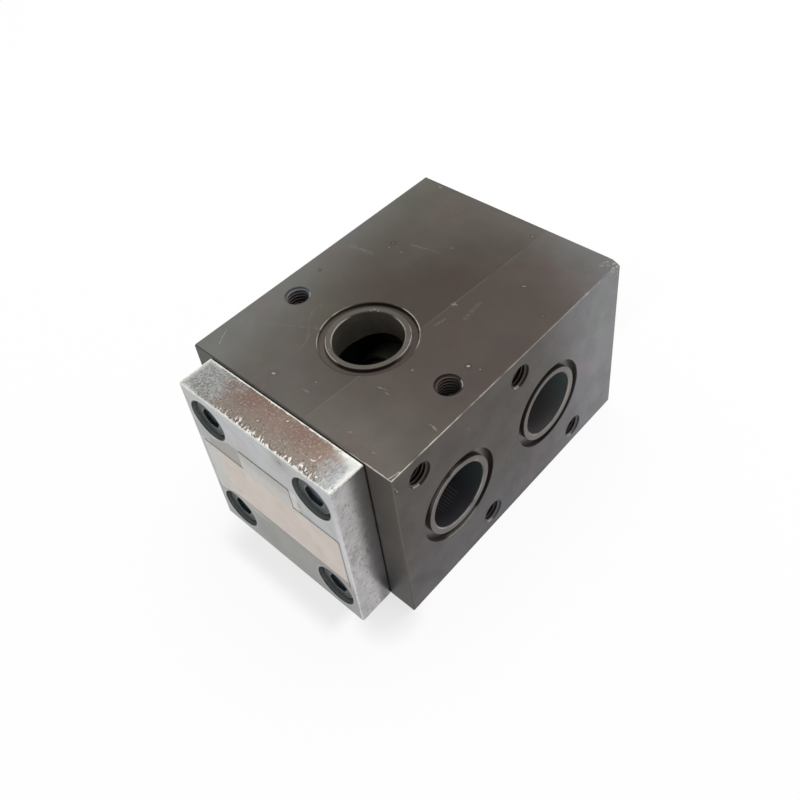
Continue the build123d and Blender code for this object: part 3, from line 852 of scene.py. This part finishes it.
# %% Tapped holes and threads
hole_masks, lit_crest_masks, blue_masks, glints = [], [], [], []
for name, (mouth, outward) in tapped_holes().items():
    across = (1 - abs(outward.x), 1, 1 - abs(outward.z))
    off_axis = from_axis(mouth, across)
    beside = maths("ABSOLUTE", vectors("DOT_PRODUCT", vectors("SUBTRACT", place, mouth), outward))
    shallow = fade(beside, 0.021, 0.018)
    hole = times(fade(off_axis, 0.0056, 0.0052), shallow)
    hole_masks.append(hole)
    wall_side = use(round_line, {"Centre": mouth, "Across": across, "Towards": (-0.8, 0.1, -0.6)})["Side"]
    lit_crest_masks.append(times(fade(off_axis, 0.0046, 0.0043), fade(wall_side, -0.2, 0.7), shallow))
    if name.endswith("lower") or name == "top_left":
        blue_masks.append(hole)
    glint_side = (0.7, 0.75, 0) if name.startswith("top") else (0, -0.42, -0.9)
    glints.append(times(arc(mouth, across, 4.85, 0.42, glint_side, 0.925), shallow))
under = fade(depth, 0.00002, 0.0002)
# Painted shade in the holes, deepening with depth.
hole_shade_tone = mix(strongest(blue_masks), (0.032, 0.026, 0.023), (0.1, 0.108, 0.122))
hole_shade_tone = paint(hole_shade_tone, (0.01, 0.01, 0.011), fade(depth, 0.001, 0.006))
skin = paint(skin, hole_shade_tone, strongest(hole_masks), under)
skin = paint(skin, (0.24, 0.18, 0.15), strongest(lit_crest_masks), under, fade(depth, 0.01, 0.003), 0.6)
skin = paint(skin, (0.62, 0.58, 0.56), strongest(glints), fade(depth, 0.0014, 0.0008), 0.6)
print("holes dressed:", len(hole_masks))

# %% The block's shader
grain = noise(place, 2600.0, 2.0, 0.6)
dents = noise(place, 160.0, 3.0, 0.6)
height = minus(plus(times(grain, 0.3), times(dents, 0.6)), times(marks_and_glints, 0.6))
satin = plus(0.3, times(cloud, 0.16), times(fade(mottle, 0.35, 0.7), 0.07), times(fine_marks, 0.1))
satin = minus(satin, times(inside, 0.06))
fill_shader(shader, skin, satin, plus(times(bare, 0.4), 0.38), height, 0.22, 0.1)
shader.inputs["Specular IOR Level"].default_value = 0.28
dress(block_finish, "valve_body")
for piece in threads:
    piece.data.materials.append(block_finish)

# %% [markdown]
# ## The plated cover
#
# The cover is a sawn steel plate, milled flat in front and zinc plated all over. Each of its
# faces tells how it was made, so each gets its own treatment, and masks keep them apart. All of
# it is metal but for oil and old glue: what differs is colour, roughness and bump.
#
# The front comes first. It is smooth and silvery above, and a duller, faintly olive grey below the sticker, a
# painted reflection of the floor's shadow that the lower front mirrors. A pale lilac band runs down its right
# edge. To the left of the sticker's tab a patch of old glue has stayed, and to its right a pale remnant of film
# with a brown smear.

# %% The cover's front
cover_finish, shader = new_material("plated_cover")
place = object_place()
x, y, z = apart(place)
plate_back = Vector((plate_high.x, joint_y, plate_high.z))
edges = use(box_edges, {"Low corner": plate_low, "High corner": plate_back, "Width": 0.5 * mm,
                        "Ragged": 0.6, "Raggedness scale": 620.0})
from_front = minus(y, plate_front)
on_top = fade(z, plate_high.z - 0.0006, plate_high.z - 0.0002)
on_right = fade(x, plate_high.x - 0.0006, plate_high.x - 0.0002)
on_front = fade(from_front, 0.0006, 0.0002)
stain = noise(place, 60.0, 4.0, 0.6)
fine_stain = noise(place, 210.0, 4.0, 0.65)

silver = mix(fade(stain, 0.35, 0.7), (0.445, 0.455, 0.47), (0.4, 0.4, 0.388))
dull = mix(fade(stain, 0.35, 0.7), (0.285, 0.282, 0.266), (0.25, 0.246, 0.23))
# Below the sticker the front turns dull: a painted reflection of the floor's shadow.
metal = mix(fade(z, 0.026, 0.0185), silver, dull)
right_band = fade(x, plate_high.x - 0.0035, plate_high.x - 0.0008)
metal = paint(metal, (0.62, 0.6, 0.64), right_band, between(z, 0.018, 0.034, 0.058, 0.077), 0.8)


def rectangle(low_x, high_x, low_z, high_z, soft=0.5):
    """1 inside a rectangle on the front, in millimetres, with soft sides."""
    return times(band(x, low_x, high_x, soft), band(z, low_z, high_z, soft), on_front)


metal = tint(metal, (0.74, 0.74, 0.73), rectangle(-42, -29.5, 51, 60.5, 2.0))
glue_slope = 0.535
glue_line = minus(z, times(x, glue_slope))
glue = times(rectangle(-32.5, -13.8, 49, 60.6, 0.3), fade(glue_line, 0.0716, 0.0706),
             fade(fine_stain, 0.15, 0.4))
metal = paint(metal, (0.275, 0.262, 0.225), glue, 0.85)
metal = paint(metal, (0.57, 0.555, 0.525), rectangle(12.6, 16.7, 49.5, 60.2, 0.15))
front_marks = marks_on(1, plate_front / mm, [
    (12.3, 75.5, 13.3, 75.0, 1.6, 0.95, 0.3),
    (16.9, 55.6, 17.5, 51.2, 0.9, 0.7, 0.2),
    (17.6, 51.4, 21.5, 51.4, 0.7, 0.6, 0.2),
    (-6.5, 75.4, 0.4, 73.5, 0.6, 0.34),
    (-16.0, 73.5, -8.0, 70.5, 0.8, 0.3, 0.1),
    (-23.0, 76.5, -15.0, 74.0, 0.8, 0.26, 0.1),
    (17.4, 72.2, 18.4, 71.4, 0.5, 0.35, 0.1),
    (12.0, 14.0, 19.0, 11.0, 0.35, 0.25),
    (-12.0, 9.0, -4.0, 6.0, 0.35, 0.15, 0.1),
    (36.4, 74.6, 37.2, 73.8, 0.4, 0.35),
])
front_dark, front_halo = scratches(front_marks)
metal = paint(metal, (0.19, 0.18, 0.16), front_dark, on_front)
metal = tint(metal, (0.5, 0.5, 0.5), front_halo, on_front)
metal = paint(metal, (0.33, 0.34, 0.34), fade(fine_stain, 0.5, 0.72), on_front, 0.22)
print("marks on the cover's front:", len(front_marks))

# %% [markdown]
# The top face, from its front edge back: a bright ragged line, short slanted teeth that the saw tore, a smooth
# brownish middle strewn with pits, and a thin bright line along the joint. The bright lines are partly painted
# highlight, and the teeth carry painted highlight on their faces and painted shade in their gaps. Both ends are
# silvery, the left one granular and the right one streaked.

# %% Colours of the cover's top
end_noise = times(minus(fine_stain, 0.5), 0.03)
left_end = fade(plus(x, end_noise), -0.017, -0.031)
right_end = fade(plus(x, times(end_noise, 0.5)), 0.025, 0.0345)
warm = mix(fade(stain, 0.35, 0.65), (0.235, 0.172, 0.142), (0.2, 0.14, 0.116))
warm = paint(warm, (0.232, 0.196, 0.168), fade(from_front, 0.0105, 0.003))
granular = noise(place, 1150.0, 3.0, 0.6)
warm = paint(warm, (0.3, 0.245, 0.21), fade(granular, 0.5, 0.66))
left_silver = mix(fade(granular, 0.36, 0.66), (0.235, 0.24, 0.235), (0.43, 0.44, 0.43))
slanted = noise(stretched(place, (1.0, 4.0, 1.0), (0, 0, math.radians(-8))), 1900.0, 3.0, 0.6)
right_silver = mix(fade(slanted, 0.32, 0.68), (0.225, 0.24, 0.25), (0.44, 0.455, 0.45))
left_rim = times(fade(edges["Edge distance"], 0.0026, 0.0006), fade(x, -0.03, -0.036))
left_silver = paint(left_silver, (0.62, 0.64, 0.6), left_rim, 0.75)
corner_reach = maths("MINIMUM", times(minus(joint_y, y), 0.7), minus(plate_high.x, x))
bright_corner = fade(plus(corner_reach, times(end_noise, 0.08)), 0.0034, 0.001)
right_silver = paint(right_silver, (0.66, 0.68, 0.63), bright_corner, 0.8)
top_metal = mix(left_end, warm, left_silver)
top_metal = paint(top_metal, right_silver, right_end)
metal = paint(metal, top_metal, on_top)
print("top of the cover: warm middle, granular left end, streaked right end")

# %% Teeth, pits and bright lines on the cover's top
# The teeth are drawn bright with dark gaps: painted highlight and painted shade on the torn edge, besides their
# shape in the bump.
tooth_place = stretched(place, (1.0, 3.4, 1.0), (0, 0, math.radians(24)))
tooth_noise = noise(tooth_place, 1300.0, 2.0, 0.55)
tooth_reach = plus(times(fade(noise(place, 300.0, 2.0), 0.35, 0.7), 0.0024), 0.0009)
tooth_zone = times(fade(maths("DIVIDE", from_front, tooth_reach), 1.3, 0.6), on_top,
                   between(x, -0.026, -0.012, 0.028, 0.034))
dense_front = times(fade(from_front, 0.0014, 0.0004), 0.035)
teeth = times(fade(plus(tooth_noise, dense_front), 0.52, 0.59), tooth_zone)
tooth_gaps = times(fade(tooth_noise, 0.49, 0.4), tooth_zone)
pit_density = plus(times(fade(from_front, 0.01, 0.001), 0.5), 0.06)
bright_pits = times(strewn(place, 1250.0, 0.36, pit_density), on_top)
dark_place = vectors("ADD", place, (0.013, 0.007, 0.003))
dark_pits = times(strewn(dark_place, 1000.0, 0.42, pit_density), on_top)
metal = paint(metal, (0.1, 0.085, 0.075), dark_pits, 0.45)
metal = paint(metal, (0.1, 0.09, 0.08), tooth_gaps, 0.6)
metal = paint(metal, (0.52, 0.48, 0.44), bright_pits, 0.5)
metal = paint(metal, (0.92, 0.92, 0.9), teeth, 0.75)
top_marks = marks_on(2, plate_high.z / mm, [
    (23.2, -66.5, 24.1, -66.2, 0.35, 0.75),
    (24.1, -66.2, 24.6, -64.9, 0.32, 0.7),
    (24.6, -64.9, 24.5, -63.3, 0.3, 0.6),
    (4.4, -60.6, 5.0, -60.2, 0.4, 0.6, 0.2),
    (-4.0, -66.5, -3.4, -66.1, 0.4, 0.5, 0.2),
    (-34.0, -70.0, -31.5, -67.0, 0.5, 0.3, 0.3),
])
top_bright, top_halo = scratches(top_marks)
metal = tint(metal, (0.45, 0.42, 0.4), top_halo)
metal = paint(metal, (0.88, 0.86, 0.83), top_bright)

# These lines along the top's edges are partly painted highlight.
front_top = (0, plate_front, plate_high.z)
left_top = (plate_low.x, 0, plate_high.z)
edge_wear_and_highlight_lines = []
for corner, across, width, ragged, scale, share in (
        (front_top, (0, 1, 1), 0.6, 0.22, 500.0, 1.0),
        (plate_back, (0, 1, 1), 0.95, 0.28, 420.0, 0.9),
        (plate_back, (0, 1, 1), 1.7, 0.8, 260.0, times(fade(x, 0.016, 0.034), 0.6)),
        (plate_high, (1, 0, 1), 0.45, 0.4, 420.0, 0.7),
        (left_top, (1, 0, 1), 0.5, 0.8, 300.0, 0.7)):
    edge_wear_and_highlight_lines.append(times(worn_and_lit_edge(corner, across, width, ragged, scale)["Mask"], share))
top_edge_wear_and_highlights = times(strongest(edge_wear_and_highlight_lines), fade(z, plate_high.z - 0.0008, plate_high.z - 0.0005))
metal = paint(metal, (0.93, 0.94, 0.9), top_edge_wear_and_highlights)
print("bright lines round the cover's top:", len(edge_wear_and_highlight_lines))

# %% [markdown]
# The right side shines along the front and is dull along the joint, and the border between the
# two is a row of slanted strokes where the plating was brushed. Dark dots lie on the bright half,
# a patch of it half way up is rubbed grey, and the foot of the dull half is darker.

# %% The cover's right side
stroke_place = stretched(place, (1.0, 4.5, 1.0), (math.radians(32), 0, 0))
strokes = noise(stroke_place, 1500.0, 2.0, 0.55)
border = plus(from_front, times(minus(strokes, 0.5), 0.013), times(minus(fine_stain, 0.5), 0.002),
              times(fade(z, 0.014, 0.004), -0.0012))
dull_half = fade(border, 0.009, 0.0114)
bright_side = mix(fade(fine_stain, 0.35, 0.7), (0.5, 0.485, 0.49), (0.4, 0.39, 0.385))
bright_side = tint(bright_side, (0.78, 0.77, 0.77), fade(strokes, 0.42, 0.34))
rubbed_zone = times(between(z, 0.028, 0.036, 0.05, 0.056), fade(fine_stain, 0.46, 0.6))
bright_side = paint(bright_side, (0.24, 0.228, 0.21), rubbed_zone, 0.45)
dull_side = mix(fade(stain, 0.35, 0.7), (0.45, 0.44, 0.455), (0.37, 0.365, 0.36))
side_metal = mix(dull_half, bright_side, dull_side)
side_metal = paint(side_metal, (0.62, 0.61, 0.6), between(border, 0.0035, 0.0065, 0.0075, 0.0095), 0.5)
side_dots = strewn(stretched(place, (1.0, 1.0, 1.6)), 900.0, 0.42, 0.26)
side_metal = paint(side_metal, (0.16, 0.155, 0.15), side_dots, minus(1.0, dull_half), 0.45)
foot_shade = times(fade(z, 0.019, 0.009), fade(from_front, 0.0088, 0.0122))
side_metal = tint(side_metal, (0.4, 0.4, 0.41), foot_shade, 0.75)
metal = paint(metal, side_metal, on_right)
metal = paint(metal, (0.03, 0.028, 0.022), fade(minus(joint_y, y), 0.0006, 0.0002), on_right, 0.75)
# The bright line down the front edge of the side and the pale rim on every edge are partly painted highlight.
side_front_line = worn_and_lit_edge((plate_high.x, plate_front, 0), (1, 1, 0), 0.6, 0.5, 300.0)["Mask"]
metal = paint(metal, (0.66, 0.65, 0.68), side_front_line, fade(z, 0.075, 0.05), 0.7)
metal = paint(metal, (0.72, 0.72, 0.7), edges["Mask"], 0.25)
print("cover side: bright half, dull half, dots and dirt at the joint")

# %% [markdown]
# The screws sit in counterbores that are dark with old oil. Each mouth has a thin dark rim of painted shade with a
# paler ring of painted highlight round it, and faint turning rings further in.

# %% Oily counterbores
bore_radius = 9.0
counterbores, rims, dark_rims = [], [], []
for centre in screw_centres:
    near_screw = from_axis(centre, (1, 0, 1))
    counterbores.append(fade(near_screw, (bore_radius + 0.15) * mm, (bore_radius - 0.05) * mm))
    rims.append(band(near_screw, bore_radius + 0.45, bore_radius + 0.9, 0.3))
    dark_rims.append(band(near_screw, bore_radius + 0.05, bore_radius + 0.3, 0.15))
counterbore = times(strongest(counterbores), fade(from_front, 0.0001, 0.0005))
# A pale ring of painted highlight round each mouth, and inside it a dark ring of painted shade.
metal = paint(metal, (0.58, 0.58, 0.58), strongest(rims), on_front, 0.3)
metal = paint(metal, (0.1, 0.1, 0.1), strongest(dark_rims), on_front, 0.75)
ring_marks = maths("SINE", times(from_front, 9000.0))
old_oil = mix(fade(ring_marks, -0.2, 1.0), (0.27, 0.3, 0.295), (0.36, 0.39, 0.375))
metal = paint(metal, old_oil, counterbore)
print("counterbores:", len(screw_centres))

# %% The cover's shader
coarse = maths("MAXIMUM", on_top, times(on_right, 0.4))
relief = plus(times(granular, 0.35), times(teeth, 1.2))
relief = times(minus(relief, times(plus(dark_pits, tooth_gaps), 0.8)), coarse)
relief = plus(relief, times(noise(place, 800.0, 2.0), 0.12), times(strokes, on_right, 0.5))
rough = plus(0.26, times(on_top, 0.16), times(stain, 0.1), times(top_edge_wear_and_highlights, 0.15))
less_metal = plus(times(counterbore, 0.5), times(glue, 0.6))
fill_shader(shader, metal, rough, minus(1.0, less_metal), relief, 0.45, 0.16)
dress(cover_finish, "cover_plate")

# %% [markdown]
# ## Small parts
#
# The remaining finishes are variations on one theme: a base colour with slow clouds in it, a
# grain for the bump, and a roughness that follows the clouds. One function makes them all, and
# each call names what sets that metal or rubber apart.

# %% One function for the small parts' finishes
def cloudy(name, base, second_tone, metallic, roughness, cloud_scale, grain_scale, grain_height):
    """A cloudy, finely grained finish. The grain's height is in millimetres."""
    made, shader = new_material(name)
    place = object_place()
    cloud = noise(place, cloud_scale, 3.0, 0.6)
    grain = noise(place, grain_scale, 2.0, 0.6)
    base = mix(fade(cloud, 0.35, 0.7), base, second_tone)
    fill_shader(shader, base, plus(times(cloud, 0.16), roughness), metallic, grain, 0.3, grain_height)
    return made


rubber = cloudy("oiled_rubber", (0.018, 0.018, 0.018), (0.03, 0.03, 0.028), 0.0, 0.3, 120.0, 2200.0, 0.05)
bronze = cloudy("oily_bronze", (0.075, 0.065, 0.038), (0.045, 0.04, 0.028), 0.7, 0.35, 90.0, 1800.0, 0.06)
brass = cloudy("turned_brass", (0.3, 0.23, 0.11), (0.2, 0.16, 0.08), 0.9, 0.25, 80.0, 2000.0, 0.04)
wire = cloudy("spring_wire", (0.3, 0.285, 0.19), (0.21, 0.2, 0.135), 0.8, 0.3, 140.0, 2400.0, 0.04)
pressed = cloudy("pressed_steel", (0.12, 0.116, 0.082), (0.08, 0.077, 0.055), 0.5, 0.45, 110.0, 1500.0, 0.05)
polished = cloudy("polished_pin", (0.66, 0.66, 0.67), (0.58, 0.58, 0.58), 1.0, 0.08, 60.0, 3000.0, 0.01)
wax = cloudy("solid_wax", (0.46, 0.38, 0.27), (0.38, 0.31, 0.22), 0.0, 0.4, 150.0, 900.0, 0.1)
dress(rubber, "cover_seal", "seat_seal", "rubber_boot")
dress(bronze, "seat_ring", "thermostat_cage", "piston_bridge")
dress(brass, "capsule_cup", "capsule_guide")
dress(wire, "main_spring", "retaining_ring", "disc_clip")
dress(pressed, "valve_disc")
dress(polished, "piston_pin")
dress(wax, "wax_charge")

# %% [markdown]
# ## The spring
#
# The spring stands between the cage and the disc, so when the valve opens the disc presses it shorter by the whole
# travel. A rigid coil would stay as it is, and the disc would cut through it. The coil shown is a merged copy of
# the solid's own mesh, with a mesh of its own, in place of the hidden solid; it is not squashed as the joint
# moves.

# %% Spring as a mesh of its own
spring_low, spring_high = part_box("main_spring")
spring_length = spring_high.y - spring_low.y
travel = frame["joints"][0]["range_m"][1]
bm = bmesh.new()
bm.from_mesh(frame["nodes"]["main_spring"].data)
bmesh.ops.remove_doubles(bm, verts=bm.verts, dist=0.001 * mm)
coil = new_object("coil_spring", bm)
coil.data.materials.append(wire)
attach(coil, "housing")
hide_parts("main_spring")
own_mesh(coil)
lengths = [round(length / mm, 1) for length in (spring_length, spring_length - travel)]
print("spring in mm, shut and open:", lengths)

# %% [markdown]
# ## The black screws
#
# Socket head cap screws are blackened, and their colour carries a faint blue-green tint, a painted sheen of the
# oil on them. The knurl round a head hides in its counterbore, so only the face shows: its rim and the mouth of
# the key's socket are rubbed to a lighter grey. The socket is painted a pale blue grey as painted light, because
# little light reaches into it.

# %% Screw finish
screw_finish, shader = new_material("blackened_screw")
place = object_place()
x, y, z = apart(place)
head_face = screw_boxes[0][0].y
rims, hubs = [], []
for centre in screw_centres:
    ring = {"Centre": centre, "Across": (1, 0, 1)}
    rims.append(use(round_line, {**ring, "Radius": 7.3 * mm, "Width": 0.45 * mm})["Mask"])
    hubs.append(use(round_line, {**ring, "Radius": 4.6 * mm, "Width": 0.5 * mm})["Mask"])
cloud = noise(place, 210.0, 3.0, 0.6)
black = mix(fade(cloud, 0.35, 0.7), (0.019, 0.026, 0.027), (0.034, 0.043, 0.043))
on_face = fade(y, head_face + 0.0012, head_face + 0.0004)
rubbed = plus(times(strongest(rims), 0.35), times(strongest(hubs), 0.25))
black = paint(black, (0.28, 0.3, 0.3), rubbed, on_face)
# The socket's pale blue grey is painted light.
in_socket = fade(y, head_face + 0.001, head_face + 0.003)
black = paint(black, (0.46, 0.53, 0.6), in_socket)
black = paint(black, (0.45, 0.47, 0.46), strewn(place, 420.0, 0.16, 0.2), on_face, 0.5)
grain = noise(place, 1600.0, 2.0)
less_metal = times(in_socket, 0.5)
fill_shader(shader, black, plus(times(cloud, 0.2), 0.3), minus(0.6, less_metal), grain, 0.3, 0.06)
dress(screw_finish, *["cover_screw_%d" % number for number in (1, 2, 3, 4)])

# %% [markdown]
# ## The sticker
#
# The sticker is a film in one pale, pinkish beige, a shade more silvery at its left end and on the tab between the
# upper screws. It carries nothing at all. Fingers left grey smudges on it, and its rim is a little darker where
# dirt sticks to the glue. Its lowest few millimetres are painted the grey of the metal below, whose dull tone is
# painted reflection, so the beige ends there in a brown line.

# %% Sticker finish
sticker_finish, shader = new_material("bare_sticker")
place = object_place()
x, y, z = apart(place)
sticker_low, sticker_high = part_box("data_label")
band_top = 50.0 * mm
cloud = noise(place, 70.0, 3.0, 0.6)
film = mix(fade(cloud, 0.3, 0.7), (0.74, 0.655, 0.585), (0.69, 0.605, 0.53))
silver_film = mix(fade(cloud, 0.3, 0.7), (0.66, 0.64, 0.61), (0.6, 0.585, 0.55))
silver_film = tint(silver_film, (0.84, 0.84, 0.83), fade(z, 0.053, 0.058))
left_part = fade(plus(x, times(cloud, 0.012)), -0.019, -0.027)
film = paint(film, silver_film, strongest([fade(z, band_top - 0.002, band_top), left_part]))
smudges = fade(noise(place, 150.0, 4.0, 0.65), 0.52, 0.72)
film = paint(film, (0.42, 0.39, 0.34), smudges, 0.35)
sticker_edge = use(box_edges, {"Low corner": sticker_low, "High corner": sticker_high})["Edge distance"]
film = paint(film, (0.42, 0.39, 0.36), fade(sticker_edge, 0.0007, 0.0003), 0.5)
# The lowest strip is painted like the darker metal below, a painted reflection.
margin = plus(z, times(fade(x, -0.024, -0.038), 0.0042), times(minus(cloud, 0.5), 0.0006))
grey_margin_reflection = mix(fade(x, -0.004, -0.017), (0.32, 0.315, 0.297), (0.44, 0.44, 0.42))
film = paint(film, grey_margin_reflection, fade(margin, 0.0245, 0.0241))
margin_line = fade(maths("ABSOLUTE", minus(margin, 0.0242)), 0.0005, 0.0001)
film = paint(film, (0.19, 0.155, 0.13), margin_line, 0.7)
dirt = fade(noise(place, 480.0, 4.0, 0.7), 0.6, 0.75)
film = paint(film, (0.25, 0.23, 0.2), dirt, 0.12)
wrinkles = noise(place, 90.0, 3.0, 0.5)
fill_shader(shader, film, plus(times(cloud, 0.1), 0.38), 0.0, wrinkles, 0.2, 0.2)
dress(sticker_finish, "data_label")

# %% [markdown]
# ## Floor and light
#
# The valve stands on a white floor under soft light from above and behind. The sky is brightest at the horizon and
# on the far left, and one dull brown card stands behind the valve: satin faces need a dark place to reflect, or
# they look like chalk. The floor is shown whiter to the camera and to reflections than it is lit, by Light Path,
# and less so in front of the cover and under its right corner, where the photograph shows the shadow of the valve
# best, which makes a painted contact shadow there.

# %% Floor, lamp and sky
bm = bmesh.new()
bmesh.ops.create_grid(bm, x_segments=1, y_segments=1, size=3.0)
floor = new_object("floor", bm)

floor_finish, shader = new_material("white_floor")
feed(shader.inputs["Base Color"], (0.94, 0.94, 0.935))
shader.inputs["Roughness"].default_value = 0.9
place = object_place()
x, y, z = apart(place)
cover_corner = (0.043, -0.064, 0.0)
corner_gap = vectors("LENGTH", vectors("SUBTRACT", place, cover_corner))
in_front = times(fade(y, -0.087, -0.079), between(x, -0.04, -0.02, 0.028, 0.036))
# Painted contact shadow: the floor gets less of its white here.
painted_contact_shadow = strongest([in_front, fade(corner_gap, 0.016, 0.006)])
path = add("LightPath", {}).outputs
seen = strongest([path[kind] for kind in ("Is Camera Ray", "Is Glossy Ray", "Is Transmission Ray")])
white = add("Emission", {"Color": (1, 1, 1), "Strength": 1.0}).outputs[0]
whiter = minus(0.92, times(painted_contact_shadow, 0.22))
shown = add("MixShader", {0: times(seen, whiter), 1: shader.outputs[0], 2: white}).outputs[0]
feed(tree.nodes["Material Output"].inputs["Surface"], shown)
floor.data.materials.append(floor_finish)

world = bpy.data.worlds.new("studio")
world.use_nodes = True
tree = world.node_tree
direction = add("TexCoord", {}).outputs["Generated"]
height = apart(direction)[2]
sky = mix(fade(height, 0.05, 0.5), (1, 1, 1), (0.66, 0.66, 0.66))
from_light = vectors("DOT_PRODUCT", direction, Vector((-0.7, 0.7, 0.14)))
sky = tint(sky, (0.7, 0.7, 0.71), fade(from_light, 0.5, -0.9))
card_azimuth = math.radians(134)
card_height = math.radians(44.5)
card_flat = math.cos(card_height)
card = Vector((math.cos(card_azimuth) * card_flat, math.sin(card_azimuth) * card_flat, math.sin(card_height)))
facing = vectors("DOT_PRODUCT", direction, card)
sky = paint(sky, (0.22, 0.17, 0.14), fade(facing, math.cos(math.radians(20)), math.cos(math.radians(3))))
feed(tree.nodes["Background"].inputs["Color"], sky)
tree.nodes["Background"].inputs["Strength"].default_value = 1.0
scene.world = world

lamp_data = bpy.data.lights.new("soft_lamp", "AREA")
lamp_data.shape = "SQUARE"
lamp_data.size = 0.9
lamp_data.energy = 9.5
lamp = bpy.data.objects.new("soft_lamp", lamp_data)
lamp.location = (-0.12, 0.45, 1.25)
scene.collection.objects.link(lamp)
print("floor, sky and lamp in place")
